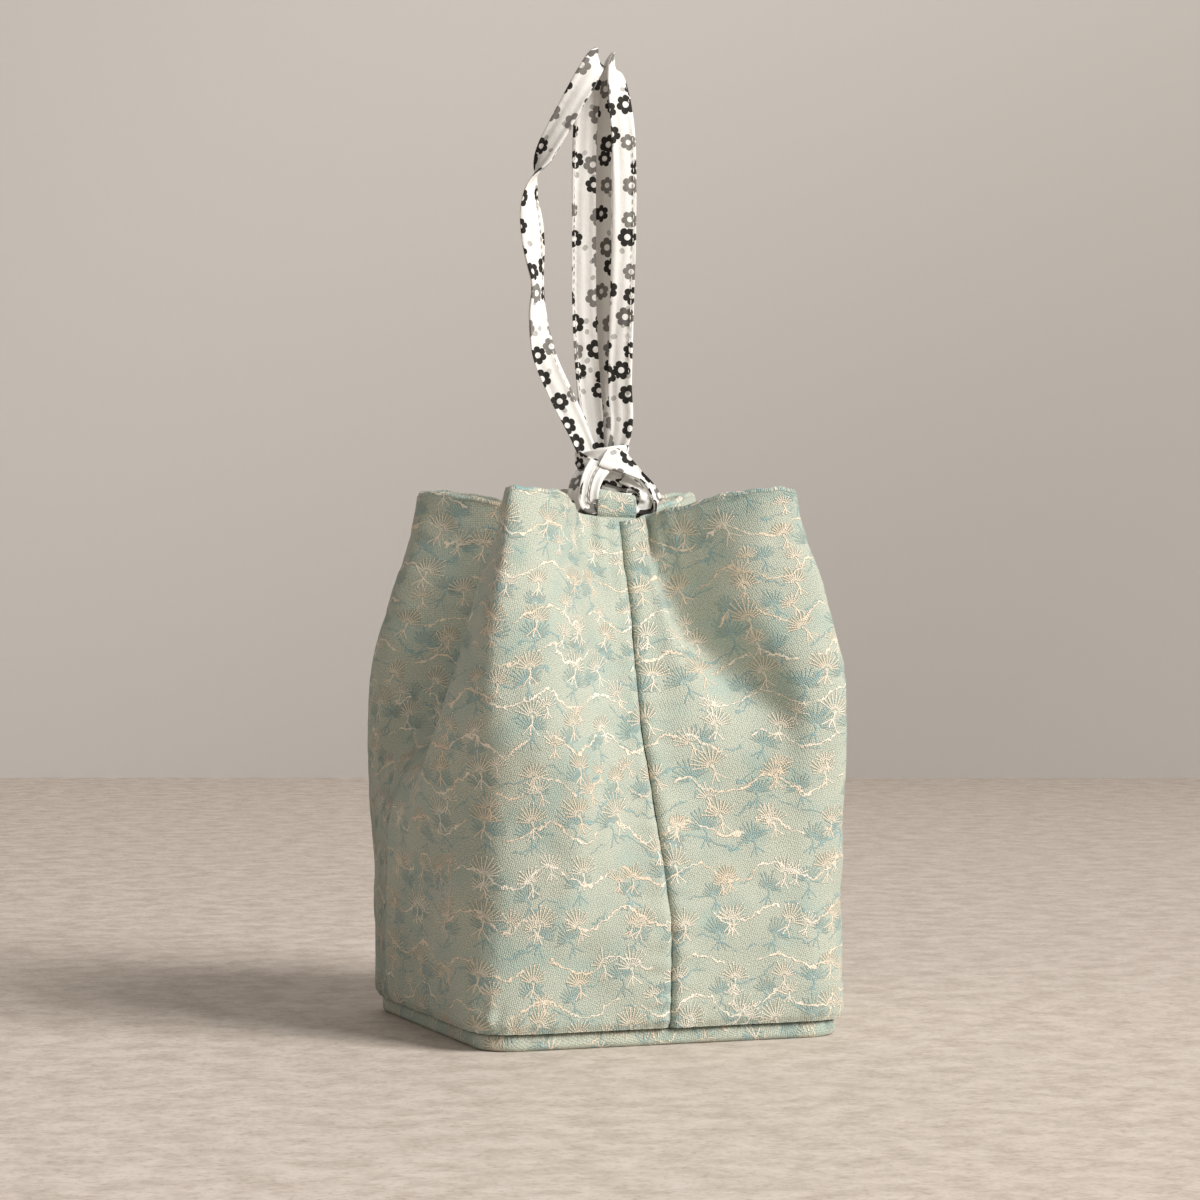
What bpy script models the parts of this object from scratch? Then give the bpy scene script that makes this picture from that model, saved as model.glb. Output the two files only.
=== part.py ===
"""A kinchaku: a square-based, lightly padded drawstring pouch of brocade, with a plain lining.

The mouth is drawn in at the middle of each side by two flat tapes that run through four
brocade loops, so the four corners stand out as lobes. The tapes are knotted together
above the mouth and stand up from the knot as two handle loops.

Metres, +Z up, front towards -Y. The origin is the middle of the base, on its underside.
"""

import math

import bmesh
import bpy
from mathutils import Matrix, Vector

# Clearance between pieces that touch
GAP = 0.0003

# Base
BASE_SETBACK = 0.0025
BASE_CORNER_RADIUS = 0.015
BASE_THICKNESS = 0.003
BASE_RIM_HEIGHT = 0.0066
BASE_RIM_ROLL = 0.0022
BOARD_THICKNESS = 0.0018
BOARD_MARGIN = 0.0015

# Walls
WALL_HALF = 0.077
BASE_HALF = WALL_HALF - BASE_SETBACK
WALL_CORNER_RADIUS = 0.016
CORNER_ROUNDING = 0.022
CORNER_SWELL = 0.0045
SWELL_HEIGHT = 0.125
SWELL_SPREAD = 0.065
BELLY = 0.002
BELLY_HEIGHT = 0.04
FOLD_DEPTH = 0.012
FOLD_CROWN = 0.2
WANDER_REACH = 0.016
LOBE_WIDENING = 0.014
SHELL_THICKNESS = 0.003
LINING_THICKNESS = 0.001
LINING_FACE_DEPTH = SHELL_THICKNESS + GAP + LINING_THICKNESS
SEAM_ROLL_DEPTH = 0.0013
HEM_ROLL_HEIGHT = 0.0045
HEM_ROLL_DEPTH = 0.0018
MOUTH_ROLL_HEIGHT = 0.004
MOUTH_ROLL_DEPTH = 0.0009

# Mouth
LOBE_HEIGHT = 0.2155
PINCH_DROP = 0.0135
PINCH_HEIGHT = LOBE_HEIGHT - PINCH_DROP
LOBE_REACH = 0.0595
LOBE_TIP_RADIUS = 0.0075
PINCH_REACH = 0.0215
PINCH_HALF_WIDTH = 0.009
PINCH_TUCK = 0.0045

# Loops that the tapes run through, sewn inside the mouth
LOOP_SIDE_CLEARANCE = 0.0008
LOOP_WIDTH = 2 * (PINCH_HALF_WIDTH - LOOP_SIDE_CLEARANCE)
LOOP_WALL = 0.001
LOOP_TUNNEL_DEPTH = 0.0045
LOOP_TUNNEL_HEIGHT = 0.0098
LOOP_FOOT_DEPTH = 0.012
LOOP_RISE = 0.0015
LOOP_STEPS = 14
LOOP_SQUARENESS = 0.7

# Tapes, as the round bulk of a flat tape
TAPE_BULK = 0.0022
HANDLE_BULK = 0.004
TUBE_RESOLUTION = 2
KNOT_HALF_WIDTH = 0.0125
KNOT_HALF_DEPTH = 0.009
KNOT_HALF_HEIGHT = 0.0092
KNOT_RISE = 0.0215
KNOT_HEIGHT = PINCH_HEIGHT + KNOT_RISE
KNOT_GAP = 0.0005
KNOT_STRAIGHT = 0.003
HANDLE_TURN = math.radians(-20)
RING_POINTS = 44
HANDLE_POINTS = 34

# The two handle loops, by hand, as (to the right, away, up from the knot's middle), for a pouch
# turned so that the loops are seen spread
HANDLE_A = (
    (-0.0113, -0.0030, 0.0180),
    (-0.0174, -0.0030, 0.0310),
    (-0.0234, -0.0030, 0.0452),
    (-0.0263, -0.0030, 0.0620),
    (-0.0265, -0.0030, 0.0760),
    (-0.0285, -0.0030, 0.0960),
    (-0.0290, -0.0030, 0.1120),
    (-0.0234, -0.0030, 0.1268),
    (-0.0160, -0.0035, 0.1405),
    (-0.0085, -0.0040, 0.1540),
    (-0.0030, -0.0025, 0.1640),
    (-0.0025, 0.0020, 0.1640),
    (-0.0060, 0.0035, 0.1530),
    (-0.0075, 0.0035, 0.1300),
    (-0.0077, 0.0035, 0.0950),
    (-0.0075, 0.0035, 0.0620),
    (-0.0060, 0.0035, 0.0360),
    (-0.0045, 0.0035, 0.0200),
)
HANDLE_B = (
    (0.0076, -0.0026, 0.0180),
    (0.0069, -0.0020, 0.0360),
    (0.0077, -0.0010, 0.0690),
    (0.0085, -0.0010, 0.0950),
    (0.0085, -0.0010, 0.1270),
    (0.0069, 0.0000, 0.1470),
    (0.0045, 0.0010, 0.1610),
    (0.0035, 0.0060, 0.1630),
    (0.0015, 0.0090, 0.1490),
    (0.0002, 0.0095, 0.1250),
    (0.0000, 0.0090, 0.0950),
    (0.0002, 0.0085, 0.0650),
    (0.0012, 0.0080, 0.0380),
    (0.0030, 0.0070, 0.0200),
)

# The tapes' ways between the knot and their rings, by hand, as (right, back, up from the ring)
RISE_A = ((-0.0080, -0.0080, 0.0048), (-0.0108, -0.0108, 0.0030), (-0.0112, -0.0135, 0.0005))
FALL_A = ((-0.01365, -0.0095, 0.0008), (-0.0139, -0.0112, 0.0032), (-0.0132, -0.0085, 0.0080))
RISE_B = ((0.0138, -0.0134, 0.0095), (0.0156, -0.0146, 0.0038), (0.0144, -0.0126, 0.0006))
FALL_B = ((0.0113, -0.0144, 0.0008), (0.0126, -0.0154, 0.0040), (0.0098, -0.0140, 0.0108))

# Columns of the wall's mesh over half a side, as shares of the way from its middle to a corner
COLUMN_SHARES = (0.0, 0.05, 0.16, 0.32, 0.49, 0.66, 0.80, 0.91, 1.0)
WALL_ROWS = 19
CURVE_STEPS = 10

# The four sides: outward direction, and the direction along the side, anticlockwise from above
SIDES = {
    "front": ((0, -1), (1, 0)),
    "right": ((1, 0), (0, 1)),
    "back": ((0, 1), (-1, 0)),
    "left": ((-1, 0), (0, -1)),
}

# How far a side is drawn in at its middle, from 0 below to 1 at the mouth, at shares of the height
DRAWN_IN = {
    "front": (
        (0.0, 0.0), (0.22, 0.0), (0.32, 0.055), (0.41, 0.11), (0.50, 0.17),
        (0.61, 0.28), (0.72, 0.44), (0.80, 0.58), (0.92, 0.85), (1.0, 1.0),
    ),
    "back": (
        (0.0, 0.0), (0.24, 0.0), (0.36, 0.12), (0.45, 0.26), (0.54, 0.45),
        (0.66, 0.68), (0.80, 0.82), (1.0, 1.0),
    ),
    "left": ((0.0, 0.0), (0.38, 0.0), (0.48, 0.08), (0.58, 0.34), (0.68, 0.62), (0.84, 0.84), (1.0, 1.0)),
    "right": ((0.0, 0.0), (0.34, 0.0), (0.48, 0.12), (0.60, 0.36), (0.72, 0.58), (0.86, 0.80), (1.0, 1.0)),
}

# How far the slack between a drawn-in middle and its corners is pushed out (+) or in (-), before
# and after the middle, in fold depths, at shares of the height
FULLNESS = {
    ("front", -1): ((0.0, 0.0), (0.3, 0.0), (0.6, 0.08), (0.8, 0.3), (1.0, 0.17)),
    ("front", 1): (
        (0.0, 0.0), (0.38, 0.0), (0.50, -0.08), (0.59, -0.54), (0.646, -0.99), (0.70, -1.12),
        (0.756, -1.09), (0.81, -0.94), (0.866, -0.73), (0.92, -0.30), (1.0, 0.0),
    ),
    ("right", -1): ((0.4, 0.0), (0.6, 0.25), (1.0, 0.08)),
    ("right", 1): ((0.4, 0.0), (0.6, -0.25), (1.0, 0.0)),
    ("back", -1): ((0.3, 0.0), (0.55, -0.42), (0.75, -0.5), (1.0, 0.0)),
    ("back", 1): ((0.3, 0.0), (0.55, 0.17), (0.75, 0.25), (1.0, 0.08)),
    ("left", -1): ((0.4, 0.0), (0.6, -0.25), (0.75, -0.42), (1.0, 0.0)),
    ("left", 1): ((0.3, 0.0), (0.48, 0.42), (0.60, 0.75), (0.78, 0.7), (1.0, 0.08)),
}

# Where that slack is pushed, as shares of the way from the middle to the corner; elsewhere halfway
FOLD_PLACE = {
    ("front", 1): (
        (0.4, 0.8), (0.59, 0.79), (0.646, 0.70), (0.70, 0.576), (0.756, 0.41),
        (0.81, 0.30), (0.866, 0.22), (0.92, 0.17), (1.0, 0.22),
    ),
    ("left", 1): ((0.4, 0.6), (0.6, 0.66), (0.72, 0.7), (1.0, 0.7)),
}
FOLD_HALFWAY = ((0.0, 0.55), (1.0, 0.55))

# How much wider than the others a lobe is at its shoulder, at shares of the height
LOBE_FATNESS = {
    ("front", 1): ((0.52, 0.0), (0.65, 0.36), (0.72, 0.7), (0.81, 1.0), (0.90, 0.75), (1.0, 0.1)),
}
LOBE_EVEN = ((0.0, 0.0), (1.0, 0.0))

# How far the bottom of each hollow wanders along its side, at shares of the height
WANDER = {
    "front": (
        (0.0, 0.0), (0.22, 0.0), (0.40, -0.16), (0.53, -0.30), (0.61, -0.375),
        (0.72, -0.31), (0.85, -0.15), (1.0, 0.0),
    ),
    "right": ((0.4, 0.0), (0.55, 0.5), (1.0, 0.0)),
    "back": ((0.3, 0.0), (1.0, 0.0)),
    "left": ((0.4, -2.6), (0.5, -2.3), (0.60, -1.2), (0.74, -0.4), (1.0, 0.0)),
}

# How much rounder than the others the corner at the end of each side is, at shares of the height
ROUNDNESS = {
    "front": ((0.1, 0.0), (0.3, 0.15), (0.6, 0.0)),
    "right": ((0.1, 0.0), (0.3, 0.3), (0.6, 0.0)),
    "back": ((0.1, 0.0), (0.3, 0.0), (0.6, 0.0)),
    "left": ((0.08, 0.0), (0.22, 0.55), (0.42, 0.9), (0.60, 0.45), (0.72, 0.25), (1.0, 0.0)),
}

# How much of the corners' swell each of those corners has
SWELL_SHARE = {"front": 0.5, "right": 0.33, "back": 1.0, "left": 0.55}

# How much the corners close from the wall's square to the lobe tips, at shares of the height
CORNER_CLOSING = ((0.55, 0.0), (0.67, 0.10), (0.76, 0.30), (0.84, 0.56), (0.90, 0.78), (1.0, 1.0))

BROCADE = ("brocade", (0.47, 0.56, 0.47, 1.0), 0.72)
LINING = ("lining", (0.78, 0.64, 0.56, 1.0), 0.85)
TAPE = ("tape", (0.88, 0.87, 0.85, 1.0), 0.80)
BOARD = ("board", (0.62, 0.55, 0.44, 1.0), 0.90)


def clear_scene():
    """Removes every object that the file opened with."""
    for obj in list(bpy.data.objects):
        bpy.data.objects.remove(obj, do_unlink=True)


def material(finish):
    """The material of one kind of cloth or board, made once."""
    name, colour, roughness = finish
    found = bpy.data.materials.get(name)
    if found:
        return found
    made = bpy.data.materials.new(name)
    made.use_nodes = True
    shader = made.node_tree.nodes["Principled BSDF"]
    shader.inputs["Base Color"].default_value = colour
    shader.inputs["Roughness"].default_value = roughness
    shader.inputs["Metallic"].default_value = 0.0
    made.diffuse_color = colour
    return made


def add_mesh(name, bm, finish, smooth_angle=40.0):
    """Links a finished bmesh as one named, smooth-shaded object."""
    bmesh.ops.recalc_face_normals(bm, faces=bm.faces)
    mesh = bpy.data.meshes.new(name)
    bm.to_mesh(mesh)
    bm.free()
    mesh.shade_smooth()
    mesh.set_sharp_from_angle(angle=math.radians(smooth_angle))
    mesh.materials.append(material(finish))
    obj = bpy.data.objects.new(name, mesh)
    bpy.context.collection.objects.link(obj)
    return obj


def along_keys(keys, at):
    """A value between (place, value) keys, eased through them by a monotone cubic."""
    if at <= keys[0][0]:
        return keys[0][1]
    if at >= keys[-1][0]:
        return keys[-1][1]
    steps = [
        (after[1] - before[1]) / (after[0] - before[0])
        for before, after in zip(keys, keys[1:])
    ]
    slopes = [steps[0]]
    for before, after in zip(steps, steps[1:]):
        same_way = before * after > 0
        slopes.append(2 * before * after / (before + after) if same_way else 0.0)
    slopes.append(steps[-1])
    for k, (start, end) in enumerate(zip(keys, keys[1:])):
        if at <= end[0]:
            width = end[0] - start[0]
            t = (at - start[0]) / width
            stay = (1 + 2 * t) * (1 - t) ** 2
            leave = t * (1 - t) ** 2
            arrive = t * t * (t - 1)
            return (
                start[1] * stay
                + end[1] * (1 - stay)
                + width * (slopes[k] * leave + slopes[k + 1] * arrive)
            )
    return keys[-1][1]


def smooth_step(low, high, at):
    """0 below low, 1 above high, eased between."""
    t = min(max((at - low) / (high - low), 0.0), 1.0)
    return t * t * (3 - 2 * t)


def mix(start, end, share):
    """The value a share of the way from start to end."""
    return start + (end - start) * share


def corner_radius(side, share):
    """The radius of the corner at the end of a side, at a share of the height."""
    return WALL_CORNER_RADIUS + CORNER_ROUNDING * along_keys(ROUNDNESS[side], share)


def side_points(side, share):
    """The points that one side's outline passes through at a share of the height, as (along,
    outward), from just after one corner to just before the next."""
    height = share * LOBE_HEIGHT
    bulge = BELLY * math.exp(-(((height - BELLY_HEIGHT) / BELLY_HEIGHT) ** 2))
    plane = WALL_HALF + bulge
    closing = along_keys(CORNER_CLOSING, share)
    corner_cut = corner_radius(side, share) * (1 - math.sqrt(0.5))
    swell = CORNER_SWELL * SWELL_SHARE[side] * math.exp(-(((height - SWELL_HEIGHT) / SWELL_SPREAD) ** 2))
    tip = mix(WALL_HALF - corner_cut + swell, LOBE_REACH, closing)
    middle = mix(plane, PINCH_REACH, along_keys(DRAWN_IN[side], share))
    wander = WANDER_REACH * along_keys(WANDER[side], share)
    before = list(SIDES)[list(SIDES).index(side) - 1]
    start = side_half(side, -1, share, corner_radius(before, share), (plane, closing, middle, wander))
    end = side_half(side, 1, share, corner_radius(side, share), (plane, closing, middle, wander))
    return start[::-1] + [(wander, middle)] + end, tip


def side_half(side, way, share, radius, form):
    """One half of a side's points, from its drawn-in middle to the shoulder of the corner."""
    plane, closing, middle, wander = form
    fatness = LOBE_WIDENING * along_keys(LOBE_FATNESS.get((side, way), LOBE_EVEN), share)
    shoulder_along = mix(WALL_HALF - radius, LOBE_REACH - 1.7 * LOBE_TIP_RADIUS, closing) - fatness
    shoulder_out = mix((WALL_HALF + plane) / 2, LOBE_REACH - 0.2 * LOBE_TIP_RADIUS, closing) - 0.3 * fatness
    push = FOLD_DEPTH * along_keys(FULLNESS[(side, way)], share)
    place = along_keys(FOLD_PLACE.get((side, way), FOLD_HALFWAY), share)
    tuck = PINCH_TUCK * smooth_step(0.8, 1.0, share)
    inner = wander * way + PINCH_HALF_WIDTH
    fold = (mix(inner, shoulder_along, place), mix(middle, shoulder_out, place) + push)
    crown = FOLD_CROWN * max(0.0, -push)
    half = [
        (inner, middle),
        (mix(inner, fold[0], 0.4), mix(middle, fold[1], 0.22) - tuck + crown),
        fold,
        (shoulder_along, shoulder_out),
    ]
    return [(way * along, out) for along, out in half]


def outline(share):
    """The wall's outline at a share of the height, as columns of (point, outward normal), from the
    middle of the front anticlockwise and back to it."""
    through = []
    marks = []
    for side, (out, along) in SIDES.items():
        points, tip = side_points(side, share)
        middle = len(points) // 2
        for k, (a, b) in enumerate(points):
            if k == middle:
                marks.append(len(through))
            through.append(Vector((out[0] * b + along[0] * a, out[1] * b + along[1] * a)))
        marks.append(len(through))
        through.append(Vector((out[0] + along[0], out[1] + along[1])) * tip)
    dense, knots = closed_curve(through)
    stops = [knots[mark] for mark in marks] + [knots[marks[0]] + len(dense)]
    columns = []
    for k, (start, end) in enumerate(zip(stops, stops[1:])):
        stretch = [dense[i % len(dense)] for i in range(start, end + 1)]
        shares = COLUMN_SHARES if k % 2 == 0 else [1 - s for s in reversed(COLUMN_SHARES)]
        columns += [at_share(stretch, s) for s in shares[:-1]]
    count = len(columns)
    rows = []
    for k, point in enumerate(columns):
        tangent = columns[(k + 1) % count] - columns[k - 1]
        normal = Vector((tangent.y, -tangent.x)).normalized()
        rows.append((point, normal))
    return rows


def closed_curve(points):
    """A closed smooth curve through the points, and where each of them lies on it."""
    count = len(points)
    spans = [math.sqrt((points[(k + 1) % count] - points[k]).length) for k in range(count)]
    tangents = [
        (points[(k + 1) % count] - points[k - 1]) / (spans[k - 1] + spans[k])
        for k in range(count)
    ]
    dense = []
    knots = []
    for k in range(count):
        knots.append(len(dense))
        start, end = points[k], points[(k + 1) % count]
        for step in range(CURVE_STEPS):
            t = step / CURVE_STEPS
            stay = (1 + 2 * t) * (1 - t) ** 2
            dense.append(
                start * stay
                + end * (1 - stay)
                + tangents[k] * spans[k] * t * (1 - t) ** 2
                + tangents[(k + 1) % count] * spans[k] * t * t * (t - 1)
            )
    return dense, knots


def at_share(stretch, share):
    """The point at a share of a polyline's length."""
    lengths = [(b - a).length for a, b in zip(stretch, stretch[1:])]
    left = share * sum(lengths)
    for start, end, length in zip(stretch, stretch[1:], lengths):
        if left <= length:
            return start.lerp(end, left / length if length else 0.0)
        left -= length
    return stretch[-1]


def column_shares_round():
    """Each column's share of the way from the middle of a side (0) to a corner (1)."""
    up = list(COLUMN_SHARES[:-1])
    down = [s for s in reversed(COLUMN_SHARES)][:-1]
    return (up + down) * len(SIDES)


def mouth_height(share):
    """The height of the mouth's edge at a share of the way from a side's middle to a corner."""
    return mix(PINCH_HEIGHT, LOBE_HEIGHT, math.sin(share * math.pi / 2) ** 1.15)


def row_shares():
    """The wall's rows from its lower hem to its mouth, as shares of the height at each column."""
    low_roll = HEM_ROLL_HEIGHT / LOBE_HEIGHT
    top_roll = MOUTH_ROLL_HEIGHT / LOBE_HEIGHT
    middle = WALL_ROWS - 4
    shares = [0.0, low_roll * 0.4, low_roll]
    shares += [mix(low_roll, 1 - top_roll, (k + 1) / middle) for k in range(middle)]
    return shares + [1 - top_roll * 0.35, 1.0]


def wall_points():
    """The wall's surface as rows of columns of (x, y, z) and horizontal outward normals."""
    foot = BASE_RIM_HEIGHT + GAP
    around = column_shares_round()
    tops = [mouth_height(s) for s in around]
    grid = []
    for share in row_shares():
        heights = [mix(foot, top, share) for top in tops]
        row = []
        for k, height in enumerate(heights):
            point, normal = outline_at(height / tops[k])[k]
            row.append((Vector((point.x, point.y, height)), Vector((normal.x, normal.y, 0.0))))
        grid.append(row)
    return grid


OUTLINES = {}


def outline_at(share):
    """The outline at a share of the height, worked out once for each share."""
    key = round(share, 5)
    if key not in OUTLINES:
        OUTLINES[key] = outline(key)
    return OUTLINES[key]


def panel_columns(left):
    """The columns of the left or the right panel, from the front seam to the back seam."""
    count = len(SIDES) * 2 * (len(COLUMN_SHARES) - 1)
    half = count // 2
    if left:
        return [(-k) % count for k in range(half + 1)]
    return list(range(half + 1))


def hem_turn(row):
    """How far a panel's hem turns in, bodily, to the seam on the base's rim."""
    return HEM_ROLL_DEPTH * (1.0, 0.25)[row] if row < 2 else 0.0


def edge_roll(row, rows, column, columns):
    """How far the outer face is pulled in at a panel's seams and rolled at the mouth."""
    from_seam = min(column, columns - 1 - column)
    roll = (SEAM_ROLL_DEPTH, SEAM_ROLL_DEPTH * 0.12)[from_seam] if from_seam < 2 else 0.0
    if row == rows - 1:
        roll = max(roll, MOUTH_ROLL_DEPTH)
    return roll


def wall_panel(name, grid, left, depths, finish, rolled=False):
    """One closed wall panel between two depths below the wall's surface."""
    outer, inner = depths
    columns = panel_columns(left)
    side = -1 if left else 1
    bm = bmesh.new()
    faces_out = []
    faces_in = []
    for i, row in enumerate(grid):
        out_row = []
        in_row = []
        for j, k in enumerate(columns):
            point, normal = row[k]
            turn = hem_turn(i) if rolled else 0.0
            roll = edge_roll(i, len(grid), j, len(columns)) if rolled else 0.0
            for depth, verts in ((outer + max(turn, roll), out_row), (inner + turn, in_row)):
                at = point - normal * depth
                if j in (0, len(columns) - 1):
                    at.x = point.x + side * GAP / 2
                verts.append(bm.verts.new(at))
        faces_out.append(out_row)
        faces_in.append(in_row)
    skin(bm, faces_out, faces_in)
    return add_mesh(name, bm, finish)


def skin(bm, outside, inside):
    """Closes the space between two equal grids of vertices."""
    rows = len(outside)
    columns = len(outside[0])
    for grid in (outside, inside):
        for i in range(rows - 1):
            for j in range(columns - 1):
                bm.faces.new((grid[i][j], grid[i][j + 1], grid[i + 1][j + 1], grid[i + 1][j]))
    for i in range(rows - 1):
        for j in (0, columns - 1):
            bm.faces.new((outside[i][j], outside[i + 1][j], inside[i + 1][j], inside[i][j]))
    for j in range(columns - 1):
        for i in (0, rows - 1):
            bm.faces.new((outside[i][j], outside[i][j + 1], inside[i][j + 1], inside[i][j]))


def rounded_square(half, radius, corner_steps=5):
    """A square with round corners, anticlockwise, as (x, y)."""
    points = []
    for quarter in range(4):
        turn = Matrix.Rotation(quarter * math.pi / 2, 2)
        centre = Vector((half - radius, half - radius))
        for step in range(corner_steps + 1):
            angle = step / corner_steps * math.pi / 2
            at = centre + Vector((math.cos(angle), math.sin(angle))) * radius
            points.append(turn @ at)
    return points


def slab(name, half, radius, levels, finish):
    """A stack of rounded squares, each a (height, inset) level, closed at both ends."""
    bm = bmesh.new()
    loops = []
    for height, inset in levels:
        points = rounded_square(half - inset, radius - inset)
        loops.append([bm.verts.new((p.x, p.y, height)) for p in points])
    count = len(loops[0])
    for lower, upper in zip(loops, loops[1:]):
        for k in range(count):
            after = (k + 1) % count
            bm.faces.new((lower[k], lower[after], upper[after], upper[k]))
    bm.faces.new(loops[0])
    bm.faces.new(loops[-1])
    return add_mesh(name, bm, finish)


def base_panel():
    """The brocade base: a shallow tray whose rim rolls up to the seam below the walls."""
    roll = BASE_RIM_ROLL
    inner = BASE_THICKNESS
    levels = [
        (0.0, roll * 1.2),
        (roll * 0.3, roll * 0.35),
        (roll, 0.0),
        (BASE_RIM_HEIGHT - roll, 0.0),
        (BASE_RIM_HEIGHT - roll * 0.35, roll * 0.3),
        (BASE_RIM_HEIGHT, roll),
        (BASE_RIM_HEIGHT, inner),
        (BASE_THICKNESS, inner),
    ]
    return slab("base_panel", BASE_HALF, BASE_CORNER_RADIUS, levels, BROCADE)


def floor_layers():
    """The stiff board on the base panel, and the lining's floor on the board."""
    board_bottom = BASE_THICKNESS + GAP
    board_top = board_bottom + BOARD_THICKNESS
    inset = BASE_THICKNESS + GAP + BOARD_MARGIN
    slab("base_board", BASE_HALF, BASE_CORNER_RADIUS, [(board_bottom, inset), (board_top, inset)], BOARD)
    floor_bottom = board_top + GAP
    floor_inset = BASE_THICKNESS + GAP
    levels = [(floor_bottom, floor_inset), (floor_bottom + LINING_THICKNESS, floor_inset)]
    slab("lining_floor", BASE_HALF, BASE_CORNER_RADIUS, levels, LINING)


def walls():
    """The padded brocade panels and the lining panels inside them."""
    grid = wall_points()
    lining_outer = SHELL_THICKNESS + GAP
    lining_inner = lining_outer + LINING_THICKNESS
    for name, left in (("left", True), ("right", False)):
        wall_panel(f"outer_panel_{name}", grid, left, (0.0, SHELL_THICKNESS), BROCADE, rolled=True)
        wall_panel(f"lining_panel_{name}", grid[2:-2], left, (lining_outer, lining_inner), LINING)


def lining_face(side, height):
    """How near the axis the lining's inner face comes over a loop's width, at the middle of a side."""
    out, along = (Vector(way) for way in SIDES[side])
    columns = outline_at(height / PINCH_HEIGHT)
    middle = list(SIDES).index(side) * 2 * (len(COLUMN_SHARES) - 1)
    keys = []
    for step in range(-2, 3):
        point, normal = columns[(middle + step) % len(columns)]
        face = point - normal * LINING_FACE_DEPTH
        keys.append((face.dot(along), face.dot(out)))
    return min(along_keys(keys, way * LOOP_WIDTH / 2) for way in (-1, 0, 1))


def loop_section(side):
    """A loop's section as (outward, height): the outside of the folded strip, with its flat foot
    on that side's lining, the tunnel that the tapes run through, and the tunnel's middle."""
    back = PINCH_REACH - LINING_FACE_DEPTH - GAP
    bottom = PINCH_HEIGHT + LOOP_RISE
    half_depth = LOOP_TUNNEL_DEPTH / 2
    half_height = LOOP_TUNNEL_HEIGHT / 2
    centre = (back - LOOP_WALL - half_depth, bottom + LOOP_WALL + half_height)
    outside = []
    inside = []
    for step in range(LOOP_STEPS):
        angle = -math.pi / 2 + (step + 0.5) / LOOP_STEPS * 2 * math.pi
        across, up = (math.copysign(abs(v) ** LOOP_SQUARENESS, v) for v in (math.cos(angle), math.sin(angle)))
        inside.append((centre[0] + half_depth * across, centre[1] + half_height * up))
        outer_depth = half_depth + LOOP_WALL
        outer_height = half_height + LOOP_WALL
        outside.append((centre[0] + outer_depth * across, centre[1] + outer_height * up))
    foot = PINCH_HEIGHT - LOOP_FOOT_DEPTH
    lining_top = PINCH_HEIGHT - MOUTH_ROLL_HEIGHT
    seat = lining_face(side, foot) - GAP
    outside[0] = (seat, foot)
    outside[1] = (lining_face(side, lining_top) - GAP, lining_top)
    outside[-1] = (seat - 2 * LOOP_WALL, foot)
    return outside, inside, centre


def brocade_loop(name, side):
    """One loop: the folded strip's section swept along its side."""
    out, along = SIDES[side]
    outside, inside, _ = loop_section(side)
    bm = bmesh.new()
    ends = []
    for way in (-1, 1):
        offset = way * LOOP_WIDTH / 2
        for section in (outside, inside):
            ends.append(
                [
                    bm.verts.new((out[0] * b + along[0] * offset, out[1] * b + along[1] * offset, z))
                    for b, z in section
                ]
            )
    start_out, start_in, end_out, end_in = ends
    count = len(outside)
    for k in range(count):
        after = (k + 1) % count
        bm.faces.new((start_out[k], start_out[after], end_out[after], end_out[k]))
        bm.faces.new((start_in[k], start_in[after], end_in[after], end_in[k]))
        bm.faces.new((start_out[k], start_out[after], start_in[after], start_in[k]))
        bm.faces.new((end_out[k], end_out[after], end_in[after], end_in[k]))
    return add_mesh(name, bm, BROCADE)


def smooth_route(points, count):
    """Evenly spaced points on a smooth open curve through a route's own points."""
    ends = [points[0] * 2 - points[1], *points, points[-1] * 2 - points[-2]]
    dense = []
    for k in range(1, len(ends) - 2):
        before, start, end, after = ends[k - 1], ends[k], ends[k + 1], ends[k + 2]
        for step in range(CURVE_STEPS):
            t = step / CURVE_STEPS
            stay = (1 + 2 * t) * (1 - t) ** 2
            dense.append(
                start * stay
                + end * (1 - stay)
                + (end - before) * 0.5 * t * (1 - t) ** 2
                + (after - start) * 0.5 * t * t * (t - 1)
            )
    dense.append(points[-1])
    return [at_share(dense, k / (count - 1)) for k in range(count)]


def tape(name, route, bulk, count):
    """A stretch of tape as a plain round tube with closed ends."""
    curve = bpy.data.curves.new(name, "CURVE")
    curve.dimensions = "3D"
    curve.bevel_depth = bulk / 2
    curve.bevel_resolution = TUBE_RESOLUTION
    curve.use_fill_caps = True
    spline = curve.splines.new("POLY")
    points = smooth_route([Vector(p) for p in route], count)
    spline.points.add(len(points) - 1)
    for slot, point in zip(spline.points, points):
        slot.co = (*point, 1.0)
    curve.materials.append(material(TAPE))
    obj = bpy.data.objects.new(name, curve)
    bpy.context.collection.objects.link(obj)
    return obj


def knot_end(x, y, z):
    """Where a tape leaves the knot in a direction from its middle: a point just clear of the knot,
    and a second one straight out from it."""
    halves = (KNOT_HALF_WIDTH, KNOT_HALF_DEPTH, KNOT_HALF_HEIGHT)
    way = Vector((x, y, z)).normalized()
    reach = 1 / math.sqrt(sum((part / half) ** 2 for part, half in zip(way, halves)))
    surface = way * reach
    straight_out = Vector([part / half**2 for part, half in zip(surface, halves)]).normalized()
    middle = Vector((0, 0, KNOT_HEIGHT))
    return [middle + surface + straight_out * out for out in (KNOT_GAP, KNOT_GAP + KNOT_STRAIGHT)]


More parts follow.
